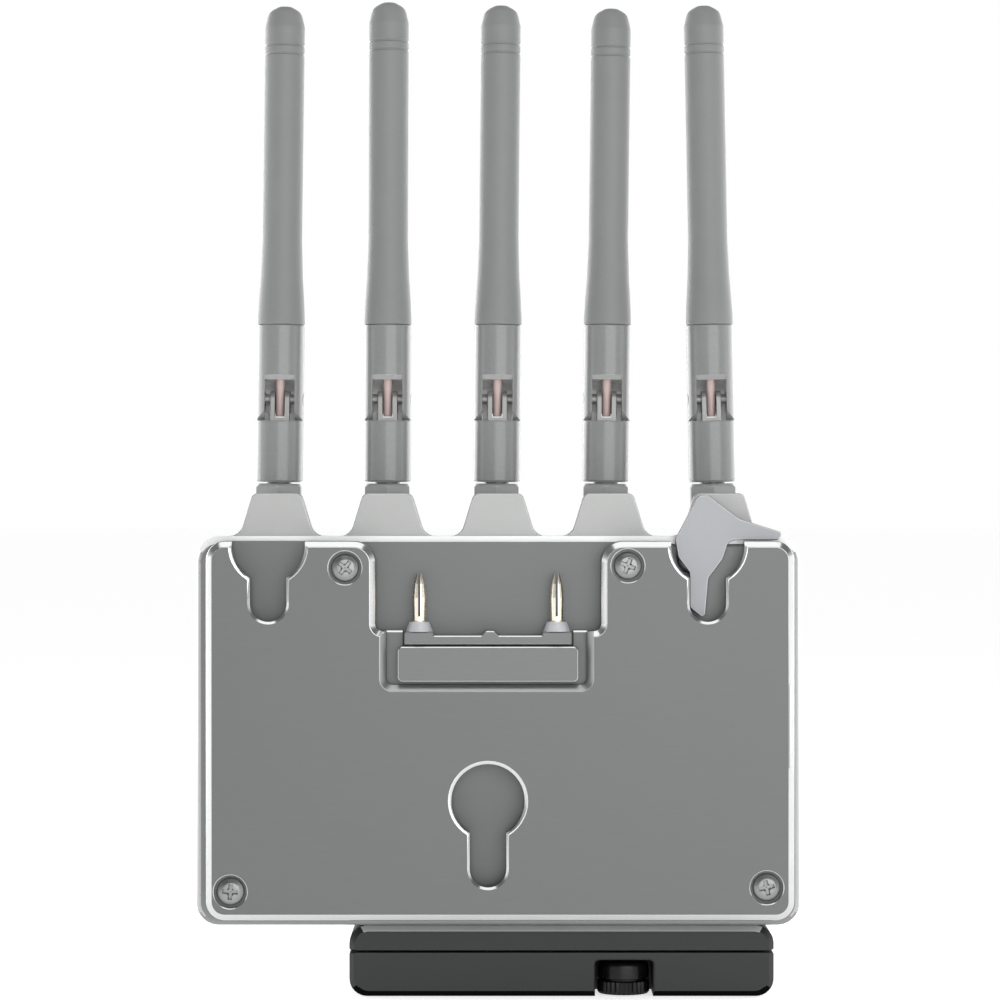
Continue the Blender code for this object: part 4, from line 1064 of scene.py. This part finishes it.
def foot_loop(low, high, seam_is_top, margin, seam_margin=0.0001):
    """One foot plate's outline: big corners away from the seam, sharp ones along it."""
    left, right = low.x + margin, high.x - margin
    radius = FOOT_CORNER - margin * 0.6
    if seam_is_top:
        bottom, top = low.z + margin, high.z - seam_margin
        radii = (radius, radius, 0.0003, 0.0003)
    else:
        bottom, top = low.z + seam_margin, high.z - margin
        radii = (0.0003, 0.0003, radius, radius)
    places = ((left, bottom), (right, bottom), (right, top), (left, top))
    return rounded([(x, z, r) for (x, z), r in zip(places, radii)], 8)


def foot_plate(name, node_name, seam_is_top):
    """One foot plate, chamfered at the rear and the front except along the seam."""
    low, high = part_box(node_name)
    steps = edge_steps(FOOT_EDGE, 0)
    levels = [(low.y + d, foot_loop(low, high, seam_is_top, m)) for d, m in steps]
    levels += [(high.y - d, foot_loop(low, high, seam_is_top, m)) for d, m in reversed(steps)]
    return stack(name, levels)


def make_foot():
    """The clamp foot: an upper plate, a base with a notch and tripod thread, and holes for their screws."""
    x, y, _ = centre("thumb_screw")
    knob_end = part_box("thumb_screw")[1].y
    upper = foot_plate("foot_upper", "mount_top_plate", False)
    base = foot_plate("foot_base", "mount_base", True)
    low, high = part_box("mount_base")
    plate_low, plate_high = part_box("mount_top_plate")
    notch = rectangle(x - 0.0056, -0.002, x + 0.0056, 0.0070, 0.0008)
    tools = [pit(notch, low.y, knob_end + 0.0006, 0.0005), pit(circle(x, y, 0.0023), high.z, 0.003, 0.0, "Z")]
    tripod = turned("tripod", [(0, -0.001, 0), (0.0036, -0.001, 0), (0.0032, 0.0004, 0)] + [
        (0.0032 - 0.0003 * (k % 2), 0.0006 + 0.0004 * k, 0) for k in range(13)
    ] + [(0, 0.0056, 0)], 32)
    tools.append(placed(tripod, Matrix.Translation((0.0050, 0.0080, 0))))
    carve(base, *tools)
    # Chamfers near the bottom take the near-black finish: painted shade on the underside edge.
    settle(base, "root", "foot_black", "foot", "mount_base", edge="foot_bottom_painted_shade",
           where=lambda face: slanted(face) and face.center.z < 0.002)
    tools = [pit(circle(x, y, 0.0023), plate_low.z, 0.0122, 0.0, "Z")]
    for i in (1, 2):
        a, b, _ = centre(f"mount_screw_{i}")
        tools += [pit(circle(a, b, 0.0032), plate_low.z, 0.0112, 0.0, "Z"),
                  pit(circle(a, b, 0.0015, 24), 0.0105, high.z + 0.01, 0.0, "Z")]
    carve(upper, *tools)

    def on_top(face):
        straight = plate_low.x + 0.0026 < face.center.x < plate_high.x - 0.0026
        return slanted(face) and straight and face.normal.y < 0 and face.center.z > 0.0125

    # The straight top front chamfer takes the lighter finish: painted highlight.
    settle(upper, "root", "foot_black", "foot", "mount_top_plate", edge="foot_top_painted_highlight", where=on_top)


def make_knob():
    """The thumb screw: a smooth drum over a knurled band, with a small boss on top."""
    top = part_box("thumb_screw")[1].z
    x, y, _ = centre("thumb_screw")
    radius = KNOB_R

    def knurl(r, height, angle):
        return r - 0.00014 * (1 + math.cos(32 * angle)) * (r > radius - 0.0003 and height < 0.0028)

    knob = turned("clamp_knob", [
        (0, top, 0), (0.0020, top, 0.0003), (0.0020, 0.0068, 0), (0.0009, 0.0068, 0.0001),
        (0.0009, 0.0067, 0), (0.0036, 0.0065, 0.0005), (radius - 0.0002, 0.0062, 0.0010),
        (radius - 0.0001, 0.0032, 0.0001), (radius - 0.0007, 0.0030, 0), (radius - 0.0007, 0.0028, 0),
        (radius, 0.0026, 0.0002), (radius, 0.0005, 0.0002), (radius - 0.0003, 0.00015, 0.0001),
        (0, 0.00015, 0),
    ], 128, knurl)
    settle(placed(knob, Matrix.Translation((x, y, 0))), "thumb_screw", "knob_black", "knob", "thumb_screw")


# --- studio


def softbox(name, place, aim, size, power):
    """A rectangular lamp that only its light gives away."""
    lamp = bpy.data.lights.new(name, "AREA")
    lamp.shape = "RECTANGLE"
    lamp.size, lamp.size_y = size
    lamp.energy = power
    made = bpy.data.objects.new(name, lamp)
    bpy.context.scene.collection.objects.link(made)
    made.location = place
    made.rotation_euler = (Vector(aim) - Vector(place)).to_track_quat("-Z", "Y").to_euler()
    made.visible_camera = False


def make_world():
    """A horizon that is white behind the plate and greyer in front of it, under a dim ceiling."""
    world = bpy.data.worlds.new("studio")
    world.use_nodes = True
    bpy.context.scene.world = world
    tree = world.node_tree
    place = node(tree, "ShaderNodeTexCoord")
    split = node(tree, "ShaderNodeSeparateXYZ")
    tree.links.new(place.outputs["Generated"], split.inputs[0])
    level = node(tree, "ShaderNodeMapRange", From_Min=-0.6, From_Max=-0.1, To_Min=0.55, To_Max=1.0)
    tree.links.new(split.outputs["Y"], level.inputs["Value"])
    height = node(tree, "ShaderNodeMapRange", From_Min=0.2, From_Max=0.5, To_Min=1.0, To_Max=0.25)
    tree.links.new(split.outputs["Z"], height.inputs["Value"])
    both = node(tree, "ShaderNodeMath", operation="MULTIPLY")
    tree.links.new(level.outputs["Result"], both.inputs[0])
    tree.links.new(height.outputs["Result"], both.inputs[1])
    tree.links.new(both.outputs[0], tree.nodes["Background"].inputs["Strength"])
    tree.nodes["Background"].inputs["Color"].default_value = (1, 1, 1, 1)


def make_studio():
    make_world()
    aim = (0, 0, 0.09)
    softbox("top_box", (0, -0.12, 0.75), aim, (0.7, 0.5), 1.7)
    softbox("left_strip", (-0.7, -0.05, 0.10), aim, (0.30, 0.30), 0.20)
    softbox("right_strip", (0.7, -0.05, 0.10), aim, (0.30, 0.30), 0.18)
    softbox("left_rim", (-0.50, 0.42, 0.16), aim, (0.75, 0.5), 3.6)
    softbox("right_rim", (0.50, 0.42, 0.16), aim, (0.75, 0.5), 2.6)
    softbox("front_fill", (0.30, -1.0, 0.25), aim, (1.0, 0.7), 5.0)
    disc = circle(0, 0, FLOOR_RADIUS, 96)
    floor = stack("floor", [(-0.0101, disc), (-0.0001, disc)], "Z")
    floor.data.materials.append(material("floor_paper", (0.93, 0.93, 0.93), 0.9, 0.0, 0.01, 20, 400,
                                         Emission_Strength=0.68, Emission_Color=(1, 1, 1, 1)))
    camera = bpy.data.cameras.new("camera")
    camera.lens = CAMERA_LENS
    camera.sensor_width = 36
    seen = bpy.data.objects.new("camera", camera)
    seen.location = CAMERA_PLACE
    seen.rotation_euler = (math.pi / 2, 0, 0)
    bpy.context.scene.collection.objects.link(seen)
    bpy.context.scene.camera = seen
    bpy.context.scene.view_settings.view_transform = "Standard"


def dress_nodes():
    """Finishes for the CAD nodes that keep their own mesh."""
    finishes = {
        "main_board": "circuit", "radio_shield": "steel", "lever_pivot": "steel", "lever_spring": "spring",
        "mount_screw_1": "steel", "mount_screw_2": "steel",
    }
    for name, kind in finishes.items():
        frame["nodes"][name].data.materials.clear()
        frame["nodes"][name].data.materials.append(MATERIALS[kind])


MATERIALS = make_materials()
make_studio()
make_housing()
make_cover()
make_display()
make_menu_button()
make_plate()
make_plate_screws()
make_terminals()
make_lever()
make_guard()
make_antennas()
make_sdi_sockets()
make_hdmi_socket()
make_power_socket()
make_switch()
make_foot()
make_knob()
dress_nodes()
